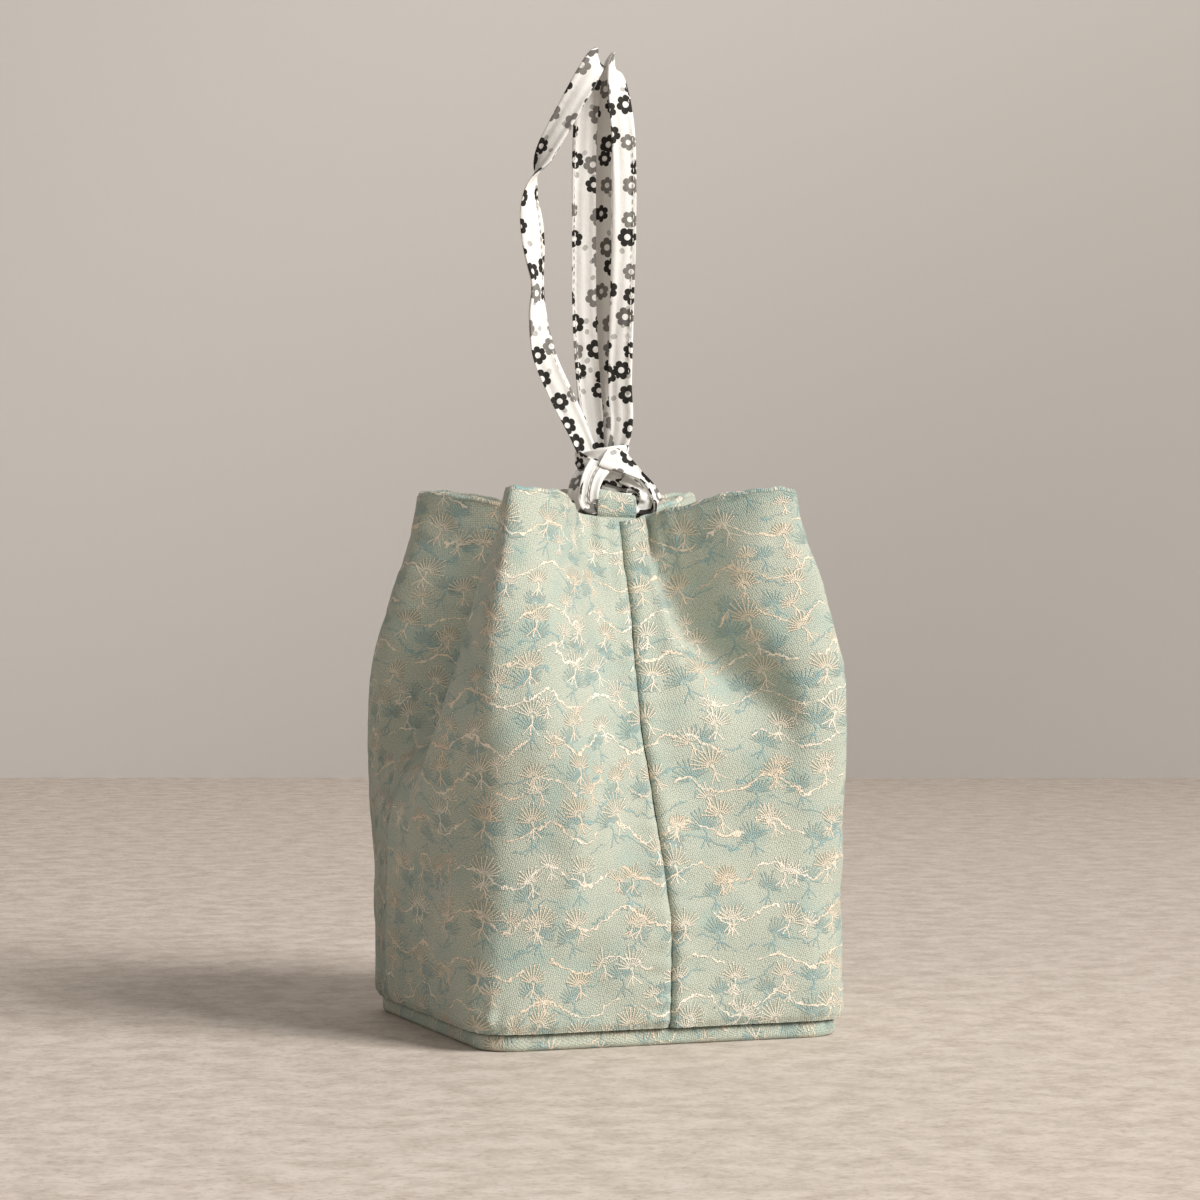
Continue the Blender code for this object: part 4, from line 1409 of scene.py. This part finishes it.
def sweep_frame(route: np.ndarray, normals: np.ndarray) -> tuple[np.ndarray, np.ndarray]:
    """Directions across and out of a ribbon.

    Args:
        route: the ribbon's middle line.
        normals: about which way its face looks at each point.

    Returns:
        The unit width directions and the unit face directions.
    """
    tangents = np.gradient(route, axis=0)
    tangents /= np.linalg.norm(tangents, axis=1, keepdims=True)
    across = np.cross(tangents, normals)
    across /= np.linalg.norm(across, axis=1, keepdims=True)
    return across, np.cross(across, tangents)


def smooth_route(points: np.ndarray, count: int) -> tuple[np.ndarray, np.ndarray]:
    """A smooth open curve through a route's points, evenly spaced.

    Args:
        points: the route's points, with any further values in the later columns.
        count: how many points the curve gets.

    Returns:
        The curve's values, and each one's distance along it.
    """
    steps = 16
    ends = np.vstack([2 * points[0] - points[1], points, 2 * points[-1] - points[-2]])
    dense = []
    for before, start, end, after in zip(ends, ends[1:], ends[2:], ends[3:]):
        t = (np.arange(steps) / steps)[:, None]
        stay = (1 + 2 * t) * (1 - t) ** 2
        leave = (end - before) * 0.5 * t * (1 - t) ** 2
        arrive = (after - start) * 0.5 * t * t * (t - 1)
        dense.append(start * stay + end * (1 - stay) + leave + arrive)
    line = np.vstack([*dense, points[-1]])
    run = distances(line[:, :3])
    wanted = np.linspace(0, run[-1], count)
    return np.stack([np.interp(wanted, run, line[:, k]) for k in range(line.shape[1])], 1), wanted


@dataclass
class Ribbon:
    """A stretch of flat, folded and stitched tape."""

    name: str
    route: np.ndarray
    normals: np.ndarray
    width: float = 0.0098
    thickness: float = 0.0011
    start: float = 0.0
    count: int = 160
    pinch: Keys = ((0.0, 1.0), (1.0, 1.0))
    plain_rows: int = 0
    rib: float = 0.30 * MM
    curl: float = 3.0 * MM
    waviness: float = 0.45 * MM
    cockle: float = 0.3 * MM
    middle: np.ndarray = field(init=False)
    faces: np.ndarray = field(init=False)
    across: np.ndarray = field(init=False)
    run: np.ndarray = field(init=False)

    def mesh(self) -> bpy.types.Mesh:
        """The tape's closed mesh, with soft edges, a folded middle and a little waviness."""
        both, run = smooth_route(np.hstack([self.route, self.normals]), self.count)
        self.middle, self.run = both[:, :3], run
        self.across, self.faces = sweep_frame(self.middle, both[:, 3:])
        share = run / run[-1]
        narrow = keyed(self.pinch, share)
        half = self.width / 2 * narrow
        thick = self.thickness / 2 * mix(2.2, 1.0, narrow)
        turns = np.linspace(0, 2 * math.pi, 29)[:-1]
        flat_x = np.sign(np.cos(turns)) * np.abs(np.cos(turns)) ** 0.75
        flat_y = np.sign(np.sin(turns)) * np.abs(np.sin(turns)) ** 0.35
        seed = sum(ord(letter) for letter in self.name) % 17
        rows = []
        uvs = []
        for k in range(self.count):
            lateral = flat_x * half[k]
            rib = self.rib * np.cos(flat_x * 2 * math.pi * 1.1 + 1.4 * math.sin(run[k] * 40 + seed))
            curl = (1 - narrow[k]) * self.curl * (flat_x**2)
            wave = self.waviness * noise.noise(Vector((run[k] * 55, seed, 0)))
            wave = wave + self.cockle * flat_x * noise.noise(Vector((run[k] * 90, seed, 3)))
            lift = flat_y * thick[k] + rib * np.abs(flat_y) * np.sign(flat_y) + curl + wave
            rows.append(self.middle[k] + self.across[k] * lateral[:, None] + self.faces[k] * lift[:, None])
            side = np.where(flat_y >= 0, 0.0, 2.3 * self.width)
            u = flat_x * self.width / 2 + side + 0.003 * seed
            uvs.append(np.column_stack([u, np.full(len(turns), run[k] + self.start)]))
        made = grid_mesh(self.name, np.stack(rows), np.stack(uvs), (False, True))
        return close_ends(made)

    def build(self) -> bpy.types.Object:
        """Makes the tape as a dressed piece, with its plain side out over its first rows."""
        obj = add_piece(self.name, self.mesh(), TAPE, 60.0)
        if self.plain_rows:
            obj.data.materials.append(PLAIN_TAPE.material())
            end = self.run[self.plain_rows]
            layer = obj.data.uv_layers["cloth"].data
            for face in obj.data.polygons:
                face.material_index = int(layer[face.loop_start].uv.y - self.start < end)
        return obj


@dataclass
class Stitcher:
    """Rows of running stitches, laid along a line by geometry nodes."""

    spacing: float = 0.0031
    length: float = 0.0021
    thickness: float = 0.00042

    def tree(self) -> bpy.types.GeometryNodeTree:
        """The node tree: points along the line, a thread on each, made real and dressed."""
        found = bpy.data.node_groups.get("Running stitch")
        if found:
            return found
        tree = bpy.data.node_groups.new("Running stitch", "GeometryNodeTree")
        face = tree.interface
        face.new_socket(name="Line", in_out="INPUT", socket_type="NodeSocketGeometry")
        for name in ("Spacing", "Stitch Length", "Thickness"):
            face.new_socket(name=name, in_out="INPUT", socket_type="NodeSocketFloat")
        face.new_socket(name="Thread", in_out="INPUT", socket_type="NodeSocketMaterial")
        face.new_socket(name="Stitches", in_out="OUTPUT", socket_type="NodeSocketGeometry")
        net = Net(tree)
        given = net.node("NodeGroupInput").outputs
        result = net.node("NodeGroupOutput").inputs
        curve = {"Curve": given["Line"], "Length": given["Spacing"]}
        spaced = net.node("GeometryNodeResampleCurve", curve, mode="LENGTH")
        points = net.node("GeometryNodeCurveToPoints", {"Curve": spaced.outputs["Curve"]}, mode="EVALUATED")
        thread = net.node("GeometryNodeMeshUVSphere", {"Segments": 8, "Rings": 6, "Radius": 0.5})
        thick = given["Thickness"]
        size = net.join(thick, thick, given["Stitch Length"])
        shaped = net.node("GeometryNodeTransform", {"Geometry": thread.outputs["Mesh"], "Scale": size})
        jitter = net.node("FunctionNodeRandomValue", {"Seed": 7}, data_type="FLOAT")
        low, high = [s for s in jitter.inputs if s.name in ("Min", "Max") and s.type == "VALUE"][:2]
        net.feed(low, 0.9)
        net.feed(high, 1.08)
        each = {
            "Points": points.outputs["Points"],
            "Instance": shaped.outputs["Geometry"],
            "Rotation": points.outputs["Rotation"],
            "Scale": net.join(*[jitter.outputs[1]] * 3),
        }
        placed = net.node("GeometryNodeInstanceOnPoints", each)
        real = net.node("GeometryNodeRealizeInstances", {"Geometry": placed.outputs["Instances"]})
        dressing = {"Geometry": real.outputs["Geometry"], "Material": given["Thread"]}
        dressed = net.node("GeometryNodeSetMaterial", dressing)
        net.feed(result["Stitches"], dressed.outputs["Geometry"])
        return tree

    def along(self, name: str, line: np.ndarray) -> bpy.types.Object:
        """Stitches along a line.

        Args:
            name: the piece's name.
            line: the line's points.

        Returns:
            The stitches as a dressed piece.
        """
        curve = bpy.data.curves.new(f"{name}_line", "CURVE")
        curve.dimensions = "3D"
        spline = curve.splines.new("POLY")
        spline.points.add(len(line) - 1)
        for slot, point in zip(spline.points, line):
            slot.co = (*point, 1.0)
        guide = linked(f"{name}_line", curve)
        modifier = guide.modifiers.new("stitches", "NODES")
        modifier.node_group = self.tree()
        values = {
            "Spacing": self.spacing,
            "Stitch Length": self.length,
            "Thickness": self.thickness,
            "Thread": THREAD.material(),
        }
        for item in modifier.node_group.interface.items_tree:
            if item.item_type == "SOCKET" and item.in_out == "INPUT" and item.name in values:
                modifier[item.identifier] = values[item.name]
        evaluated = guide.evaluated_get(bpy.context.evaluated_depsgraph_get())
        mesh = bpy.data.meshes.new_from_object(evaluated)
        bpy.data.objects.remove(guide, do_unlink=True)
        mesh.name = name
        obj = add_piece(name, mesh, THREAD)
        return obj


@dataclass
class BrocadeLoops:
    """The four folded strips that the tapes run through."""

    form: WallForm
    shell: float = 0.003
    lining: float = 0.001
    wall: float = 0.001
    tunnel_depth: float = 0.0045
    tunnel_height: float = 0.0098
    foot_depth: float = 0.012
    rise: float = 0.0015
    side_clearance: float = 0.0008
    front_slant: float = 0.0026
    squareness: float = 0.7

    def lining_face(self, side: Side, height: float) -> float:
        """How near the axis the lining's inner face comes over a loop's width, at a side's middle."""
        out, along = side.ways
        flat = self.form.outline(height / self.form.pinch_height)
        middle = list(Side).index(side) * 2 * (len(self.form.shares) - 1)
        near = flat[(middle + np.arange(-6, 7)) % len(flat)]
        behind = np.abs(near @ along) <= self.form.pinch_half_width
        return float((near @ out)[behind].min()) - self.shell - GAP - self.lining

    def tunnel(self) -> tuple[float, float]:
        """The tunnel's middle, as its distance from the axis and its height."""
        back = self.form.pinch_reach - self.shell - self.lining - 2 * GAP
        up = self.form.pinch_height + self.rise + self.wall + self.tunnel_height / 2
        return back - self.wall - self.tunnel_depth / 2, up

    def section(self, side: Side, steps: int = 40) -> tuple[np.ndarray, np.ndarray]:
        """The strip's outside with its foot, and the tunnel's wall, as (outward, height)."""
        out, up = self.tunnel()
        turns = -math.pi / 2 + (np.arange(steps) + 0.5) / steps * 2 * math.pi
        across = np.sign(np.cos(turns)) * np.abs(np.cos(turns)) ** self.squareness
        rise = np.sign(np.sin(turns)) * np.abs(np.sin(turns)) ** self.squareness
        half = np.array([self.tunnel_depth / 2, self.tunnel_height / 2])
        inside = np.stack([across, rise], 1) * half + [out, up]
        outside = np.stack([across, rise], 1) * (half + self.wall) + [out, up]
        foot = self.form.pinch_height - self.foot_depth
        top = self.form.pinch_height - 0.004
        seat = self.lining_face(side, foot) - GAP
        outside[0] = (seat - 0.3 * MM, foot)
        outside[1] = (seat, foot + 0.3 * MM)
        outside[2] = (self.lining_face(side, top) - GAP, top)
        outside[-1] = (seat - 2 * self.wall + 0.3 * MM, foot)
        outside[-2] = (seat - 2 * self.wall, foot + 0.4 * MM)
        return outside, inside

    def build(self) -> None:
        """Builds the four loops."""
        width = 2 * (self.form.pinch_half_width - self.side_clearance)
        soft = 0.45 * MM
        for side in Side:
            outside, inside = self.section(side)
            out, along = side.ways
            rings = []
            uvs = []
            middle = (outside + inside) / 2
            run = distances(outside)
            for way, section, offset in (
                (-1, inside, width / 2 - soft),
                (-1, mix(middle, inside, 0.6), width / 2),
                (-1, mix(middle, outside, 0.6), width / 2),
                (-1, outside, width / 2 - soft),
                (-0.6, outside, width / 2),
                (0.6, outside, width / 2),
                (1, outside, width / 2 - soft),
                (1, mix(middle, outside, 0.6), width / 2),
                (1, mix(middle, inside, 0.6), width / 2),
                (1, inside, width / 2 - soft),
            ):
                shift = way * offset
                flat = out[None] * section[:, :1] + along[None] * shift
                above = np.clip((section[:, 1] - self.form.pinch_height) / self.tunnel_height, 0, 1)
                slant = self.front_slant * (side is Side.FRONT) * (0.5 + shift / width) ** 1.6
                sag = 0.3 * MM * math.cos(way * 2.0) + slant * above
                rings.append(np.column_stack([flat, section[:, 1] - sag]))
                u = shift + 0.05 * (1 + list(Side).index(side))
                uvs.append(np.column_stack([np.full(len(run), u), run + 0.4]))
            name = side.name.lower()
            mesh = grid_mesh(f"strip_{name}", np.stack(rings), np.stack(uvs), (True, True))
            close_ends(mesh)
            obj = add_piece(f"strip_{name}", mesh, BROCADE, 50.0)
            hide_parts(f"loop_{name}")


@dataclass
class Drawstrings:
    """Both tapes: their rings through the loops, the knot, and the two handle loops."""

    loops: BrocadeLoops
    knot_height: float = 0.2235
    turn: float = math.radians(-20)
    ring_width: float = 0.0085
    tape_width: float = 0.0098
    middle_half: tuple[float, float, float] = (0.0094, 0.0074, 0.0086)
    stitch_inset: float = 1.3 * MM
    stitch_lift: float = 0.12 * MM

    # Points of the handle loops as (to the right, away, up from the knot's middle, facing in degrees)
    HANDLE_A = (
        (-0.0063, -0.0020, 0.0060, 15), (-0.0113, -0.0030, 0.0180, 15), (-0.0174, -0.0030, 0.0310, 10),
        (-0.0234, -0.0030, 0.0452, 15), (-0.0263, -0.0030, 0.0620, 50), (-0.0265, -0.0030, 0.0760, 62),
        (-0.0285, -0.0030, 0.0960, 20), (-0.0290, -0.0030, 0.1120, 62), (-0.0234, -0.0030, 0.1268, 140),
        (-0.0160, -0.0035, 0.1405, 160), (-0.0085, -0.0040, 0.1540, 175), (-0.0030, -0.0025, 0.1640, 200),
        (-0.0025, 0.0020, 0.1640, 340), (-0.0060, 0.0035, 0.1530, 360), (-0.0075, 0.0035, 0.1300, 360),
        (-0.0077, 0.0035, 0.0950, 360), (-0.0075, 0.0035, 0.0620, 360), (-0.0060, 0.0035, 0.0360, 365),
        (-0.0045, 0.0035, 0.0200, 370), (-0.0034, 0.0015, 0.0060, 370),
    )
    HANDLE_B = (
        (0.0055, -0.0015, 0.0060, -10), (0.0076, -0.0026, 0.0180, -10), (0.0069, -0.0020, 0.0360, -12),
        (0.0077, -0.0010, 0.0690, -5), (0.0085, -0.0010, 0.0950, 5), (0.0085, -0.0010, 0.1270, 10),
        (0.0069, 0.0000, 0.1470, 25), (0.0045, 0.0010, 0.1610, 60), (0.0035, 0.0060, 0.1630, 130),
        (0.0015, 0.0090, 0.1490, 150), (0.0002, 0.0095, 0.1250, 145), (0.0000, 0.0090, 0.0950, 140),
        (0.0002, 0.0085, 0.0650, 145), (0.0012, 0.0080, 0.0380, 150), (0.0030, 0.0070, 0.0200, 160),
        (0.0025, 0.0034, 0.0060, 170),
    )

    # The tapes' ways from the knot to their rings and back, with the way they face
    DOWN_A = (
        ((-0.0040, -0.0092, 0.2255), (-0.35, -0.90, 0.25)),
        ((-0.0085, -0.0125, 0.2205), (-0.45, -0.88, 0.20)),
        ((-0.0112, -0.0148, 0.2150), (-0.42, -0.90, 0.05)), ((-0.0118, -0.0152, 0.2105), (-0.30, -0.95, 0.0)),
        ((-0.0105, -0.0150, 0.2088), (-0.10, -1.0, 0.0)),
    )
    UP_A = (
        ((-0.0150, -0.0105, 0.2100), (-0.95, -0.3, 0.0)), ((-0.0158, -0.0110, 0.2140), (-0.9, -0.4, 0.1)),
        ((-0.0135, -0.0085, 0.2190), (-0.85, -0.5, 0.2)), ((-0.0095, -0.0050, 0.2230), (-0.8, -0.55, 0.25)),
    )
    DOWN_B = (
        ((-0.0030, -0.0098, 0.2290), (0.0, -0.85, 0.50)), ((0.0035, -0.0125, 0.2255), (0.15, -0.93, 0.35)),
        ((0.0090, -0.0135, 0.2208), (0.35, -0.90, 0.28)), ((0.0138, -0.0142, 0.2160), (0.50, -0.84, 0.22)),
        ((0.0170, -0.0148, 0.2112), (0.65, -0.75, 0.15)), ((0.0170, -0.0138, 0.2090), (0.85, -0.5, 0.05)),
    )
    UP_B = (
        ((0.0125, -0.0148, 0.2092), (0.3, -0.95, 0.0)), ((0.0128, -0.0150, 0.2135), (0.4, -0.9, 0.1)),
        ((0.0085, -0.0105, 0.2185), (0.4, -0.9, 0.1)), ((0.0035, -0.0070, 0.2220), (0.3, -0.9, 0.2)),
    )

    WIDE_A = ((0.0, 1.15), (0.05, 1.05), (0.12, 0.95), (0.9, 0.95), (1.0, 1.0))
    WIDE_B = (
        (0.0, 1.30), (0.05, 1.15), (0.09, 0.75), (0.13, 0.42), (0.17, 0.6), (0.24, 0.95), (0.9, 0.95),
        (1.0, 1.0),
    )

    def place(self, across: float, away: float, up: float) -> np.ndarray:
        """A point of the knot or of a handle loop, in the pouch's frame."""
        cos, sin = math.cos(self.turn), math.sin(self.turn)
        return np.array([across * cos - away * sin, across * sin + away * cos, up + self.knot_height])

    def facing(self, degrees: float) -> np.ndarray:
        """A level direction: towards the photographer at 0, turning to the right."""
        a = math.radians(degrees)
        cos, sin = math.cos(self.turn), math.sin(self.turn)
        across, away = math.sin(a), -math.cos(a)
        return np.array([across * cos - away * sin, across * sin + away * cos, 0.0])

    def handle(self, name: str, points: tuple, start: float) -> Ribbon:
        """One handle loop.

        Args:
            name: the piece's name.
            points: its route and facing.
            start: where it starts along the tape's print.

        Returns:
            The ribbon.
        """
        route = np.array([self.place(a, w, u) for a, w, u, _ in points])
        normals = np.array([self.facing(f) for *_, f in points])
        narrow = ((0.0, 0.8), (0.08, 1.0), (0.47, 1.0), (0.52, 0.92), (0.57, 1.0), (0.92, 1.0), (1.0, 0.8))
        return Ribbon(name, route, normals, self.tape_width, start=start, count=260, pinch=narrow)

    def ring(
        self, name: str, corner: int, inset: float, down: tuple, up: tuple, start: float, narrow: Keys,
    ) -> Ribbon:
        """A tape's way down from the knot, round through the loops and back up.

        Args:
            name: the piece's name.
            corner: the corner that it starts from, anticlockwise from the front left.
            inset: how far inside the tunnels' middle it runs.
            down: its way down from the knot.
            up: its way back.
            start: where it starts along the tape's print.
            narrow: how wide it is along its way, as shares of its width.

        Returns:
            The ribbon.
        """
        reach, height = self.loops.tunnel()
        corners = np.array([(-1, -1), (1, -1), (1, 1), (-1, 1)], float) * (reach - inset)
        route = [point for point, _ in down]
        normals = [way for _, way in down]
        for k in range(4):
            here, after = corners[(corner + k) % 4], corners[(corner + k + 1) % 4]
            out = (here + after) / np.linalg.norm(here + after)
            for share in (0.22, 0.5, 0.78):
                at = mix(here, after, share)
                route.append((*at, height))
                normals.append((*mix(out, at / np.linalg.norm(at), abs(share - 0.5)), 0.0))
        route += [point for point, _ in up]
        normals += [way for _, way in up]
        normals = np.array(normals, float)
        return Ribbon(name, np.array(route), normals, self.ring_width, start=start, count=240, pinch=narrow)

    def wrap(self, name: str, half: tuple, height: float, tilt: tuple, width: float) -> Ribbon:
        """A turn of tape round the knot.

        Args:
            name: the piece's name.
            half: how far from the axis it runs, across and away.
            height: its middle's height.
            tilt: how far it rises to the right, and away.
            width: its width.

        Returns:
            The ribbon.
        """
        turns = np.linspace(0, 2 * math.pi, 17) + 2.2
        route = []
        normals = []
        for t in turns:
            across, away = half[0] * math.cos(t), half[1] * math.sin(t)
            rise = height - self.knot_height + tilt[0] * math.cos(t) + tilt[1] * math.sin(t)
            route.append(self.place(across, away, rise))
            out = self.place(math.cos(t) / half[0], math.sin(t) / half[1], 0.0) - self.place(0.0, 0.0, 0.0)
            normals.append(out / np.linalg.norm(out))
        start = 0.2 + height * 7
        return Ribbon(name, np.array(route), np.array(normals), width, 0.0012, start=start, count=90)

    def knot(self) -> list[bpy.types.Object]:
        """The knot: turns of tape round a tight middle."""
        turns = (
            ("knot_turn_upper", (0.0098, 0.0078), 0.0030, (0.0020, -0.0010), 0.0085),
            ("knot_turn_lower", (0.0092, 0.0072), -0.0030, (-0.0032, 0.0014), 0.0080),
            ("knot_turn_middle", (0.0106, 0.0086), 0.0004, (-0.0046, 0.0024), 0.0066),
        )
        pieces = [
            self.wrap(name, half, self.knot_height + rise, tilt, width).build()
            for name, half, rise, tilt, width in turns
        ]
        mesh = bpy.data.meshes.new("knot_middle")
        bm = bmesh.new()
        bmesh.ops.create_icosphere(bm, subdivisions=4, radius=1.0)
        layer = bm.loops.layers.uv.new("cloth")
        wide, deep, tall = self.middle_half
        for vert in bm.verts:
            fold = 1 + 0.07 * math.sin(9 * math.atan2(vert.co.y, vert.co.x) + 3 * vert.co.z)
            x, y, z = vert.co
            vert.co = Vector((x * wide * fold, y * deep * fold, z * tall + self.knot_height))
        for face in bm.faces:
            for loop in face.loops:
                loop[layer].uv = (loop.vert.co.x + 0.033, loop.vert.co.z)
        bm.to_mesh(mesh)
        bm.free()
        middle = add_piece("knot_middle", mesh, TAPE)
        return [middle, *pieces]

    def stitched(self, ribbon: Ribbon, aside: float, lift: float, inner: slice) -> bpy.types.Object:
        """A row of stitches on a tape's face.

        Args:
            ribbon: the tape.
            aside: how far from its middle the row runs.
            lift: how far above its mean face the row lies.
            inner: which of its points the row follows.

        Returns:
            The stitches.
        """
        line = ribbon.middle + ribbon.across * aside + ribbon.faces * (ribbon.thickness / 2 + lift)
        return Stitcher().along(f"{ribbon.name}_stitches", line[inner])

    def build(self) -> None:
        """Builds both tapes, their stitches and the knot."""
        knot = self.knot()
        edge = self.tape_width / 2 - self.stitch_inset
        close = self.stitch_lift
        handle_a = self.handle("handle_a", self.HANDLE_A, 0.0)
        handle_b = self.handle("handle_b", self.HANDLE_B, 0.5)
        ring_a = self.ring("ring_a", 0, -0.9 * MM, self.DOWN_A, self.UP_A, 1.0, self.WIDE_A)
        ring_a.plain_rows = 34
        ring_b = self.ring("ring_b", 1, 0.9 * MM, self.DOWN_B, self.UP_B, 1.5, self.WIDE_B)
        parts = (
            ("handle_loop_a", handle_a, self.tape_width, edge, close, slice(14, -14)),
            ("handle_loop_b", handle_b, self.tape_width, edge, close, slice(14, -14)),
            ("drawstring_a_ring", ring_a, self.ring_width, 0.0, 0.4 * MM, slice(2, 40)),
            ("drawstring_b_ring", ring_b, self.ring_width, edge - 0.5 * MM, close, slice(30, 70)),
        )
        for node, ribbon, diameter, aside, lift, inner in parts:
            obj = ribbon.build()
            threads = self.stitched(ribbon, aside, lift, inner)
            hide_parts(node)
            if knot:
                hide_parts("drawstring_knot")
            knot = []


@dataclass
class Studio:
    """The table, the wall behind it, the lights and the camera."""

    azimuth: float = math.radians(-20)
    distance: float = 1.45
    eye_height: float = 0.1875
    focal_pixels: float = 3590.0
    picture: int = 1200
    sensor: float = 36.0
    axis_pixel: float = 603.0
    horizon_pixel: float = 558.0
    wall_distance: float = 3.06
    half_width: float = 4.0
    near_edge: float = 3.0
    wall_height: float = 4.0
    specular: float = 0.2

    def ahead(self) -> Vector:
        """The level direction in which the camera looks."""
        return Vector((-math.sin(self.azimuth), math.cos(self.azimuth), 0.0))

    def right(self) -> Vector:
        """The level direction to the picture's right."""
        return Vector((math.cos(self.azimuth), math.sin(self.azimuth), 0.0))

    def camera(self) -> None:
        """Places the camera as the photograph's was."""
        data = bpy.data.cameras.new("camera")
        data.sensor_width = self.sensor
        data.lens = self.focal_pixels / self.picture * self.sensor
        data.clip_start = 0.05
        data.clip_end = 50
        obj = linked("camera", data)
        obj.location = self.ahead() * -self.distance + Vector((0, 0, self.eye_height))
        middle = self.picture / 2
        pan = math.atan((self.axis_pixel - middle) / self.focal_pixels)
        tilt = math.atan((middle - self.horizon_pixel) / self.focal_pixels)
        obj.rotation_euler = (math.pi / 2 - tilt, 0.0, self.azimuth + pan)
        bpy.context.scene.camera = obj

    def surface(
        self, name: str, corners: list[Vector], colours: tuple, painted_light_fall: tuple, rough: float, grain: float,
    ) -> None:
        """A table or wall with a mottled finish over a painted light gradient between two colours.

        Args:
            name: its name.
            corners: its four corners.
            colours: its two colours, the ends of its painted light gradient.
            painted_light_fall: the painted light gradient's direction from the first colour to the second,
                and the two ends along it.
            rough: its roughness.
            grain: how strong the stone's mottling is.
        """
        mesh = bpy.data.meshes.new(name)
        mesh.from_pydata([tuple(c) for c in corners], [], [(0, 1, 2, 3)])
        made, net, shader = principled(name, rough, self.specular)
        place = net.node("ShaderNodeTexCoord").outputs["Object"]
        way, low, high = painted_light_fall
        # Painted light: the colour runs from the first to the second along the gradient's direction.
        plain = net.blend(net.step(net.vector("DOT_PRODUCT", place, tuple(way)), low, high), *colours)
        cloud = net.step(net.noise(place, 60.0, 7.0, 0.72), 0.34, 0.68)
        fleck = net.step(net.noise(place, 330.0, 3.0, 0.7), 0.46, 0.70)
        mottle = cloud * 0.6 + fleck * 0.4
        shade = mottle * grain
        net.feed(shader.inputs["Base Color"], net.blend(shade, plain, (0.30, 0.235, 0.18, 1.0)))
        mesh.materials.append(made)
        obj = linked(name, mesh)

    def area_light(
        self, name: str, place: Vector, aim: Vector, size: float, power: float, colour: tuple,
    ) -> None:
        """A soft square light.

        Args:
            name: its name.
            place: where it stands.
            aim: the point that it looks at.
            size: its side.
            power: its power in watts.
            colour: its colour.
        """
        data = bpy.data.lights.new(name, "AREA")
        data.shape = "SQUARE"
        data.size = size
        data.energy = power
        data.color = colour
        obj = linked(name, data)
        obj.location = place
        obj.rotation_euler = (aim - place).to_track_quat("-Z", "Y").to_euler()

    def build(self) -> None:
        """Builds the whole studio."""
        self.camera()
        ahead = self.ahead()
        right = self.right()
        back = ahead * (self.wall_distance - self.distance)
        near = ahead * -self.near_edge
        side = right * self.half_width
        # The table's colour is painted lighter to the left and darker to the right: painted light, evening
        # out the key light's fall-off.
        self.surface(
            "table",
            [near - side, near + side, back + side, back - side],
            ((0.77, 0.68, 0.605, 1.0), (0.63, 0.553, 0.492, 1.0)), (right, -0.55, 0.75), 0.6, 0.70,
        )
        up = Vector((0, 0, self.wall_height))
        # The wall's colour is painted lighter at the top left and darker towards the lower right: painted
        # light.
        self.surface(
            "wall",
            [back - side, back + side, back + side + up, back - side + up],
            ((0.626, 0.596, 0.568, 1.0), (0.43, 0.403, 0.378, 1.0)),
            (right * 1.6 - Vector((0, 0, 1.5)), -1.5, 0.5), 0.9, 0.0,
        )
        aim = Vector((0, 0, 0.13))
        key = right * 2.63 - ahead * 1.62 + Vector((0, 0, 2.03))
        self.area_light("key", key, aim, 1.75, 178.0, (1.0, 0.985, 0.96))
        fill = right * -1.2 - ahead * 2.2 + Vector((0, 0, 1.0))
        self.area_light("fill", fill, aim, 1.6, 5.0, (1.0, 0.96, 0.88))
        world = bpy.data.worlds.new("studio")
        world.use_nodes = True
        sky = world.node_tree.nodes["Background"]
        sky.inputs["Color"].default_value = (1.0, 0.965, 0.92, 1.0)
        sky.inputs["Strength"].default_value = 0.24
        bpy.context.scene.world = world
        bpy.context.scene.view_settings.view_transform = "Standard"
        bpy.context.scene.view_settings.look = "None"


def main() -> None:
    """Builds the dressed pouch in its studio."""
    logging.basicConfig(level=logging.INFO, format="%(name)s %(message)s")
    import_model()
    Studio().build()
    form = WallForm()
    Walls(form).build()
    Base().build()
    loops = BrocadeLoops(form)
    loops.build()
    Drawstrings(loops).build()


if __name__ == "__main__":
    main()
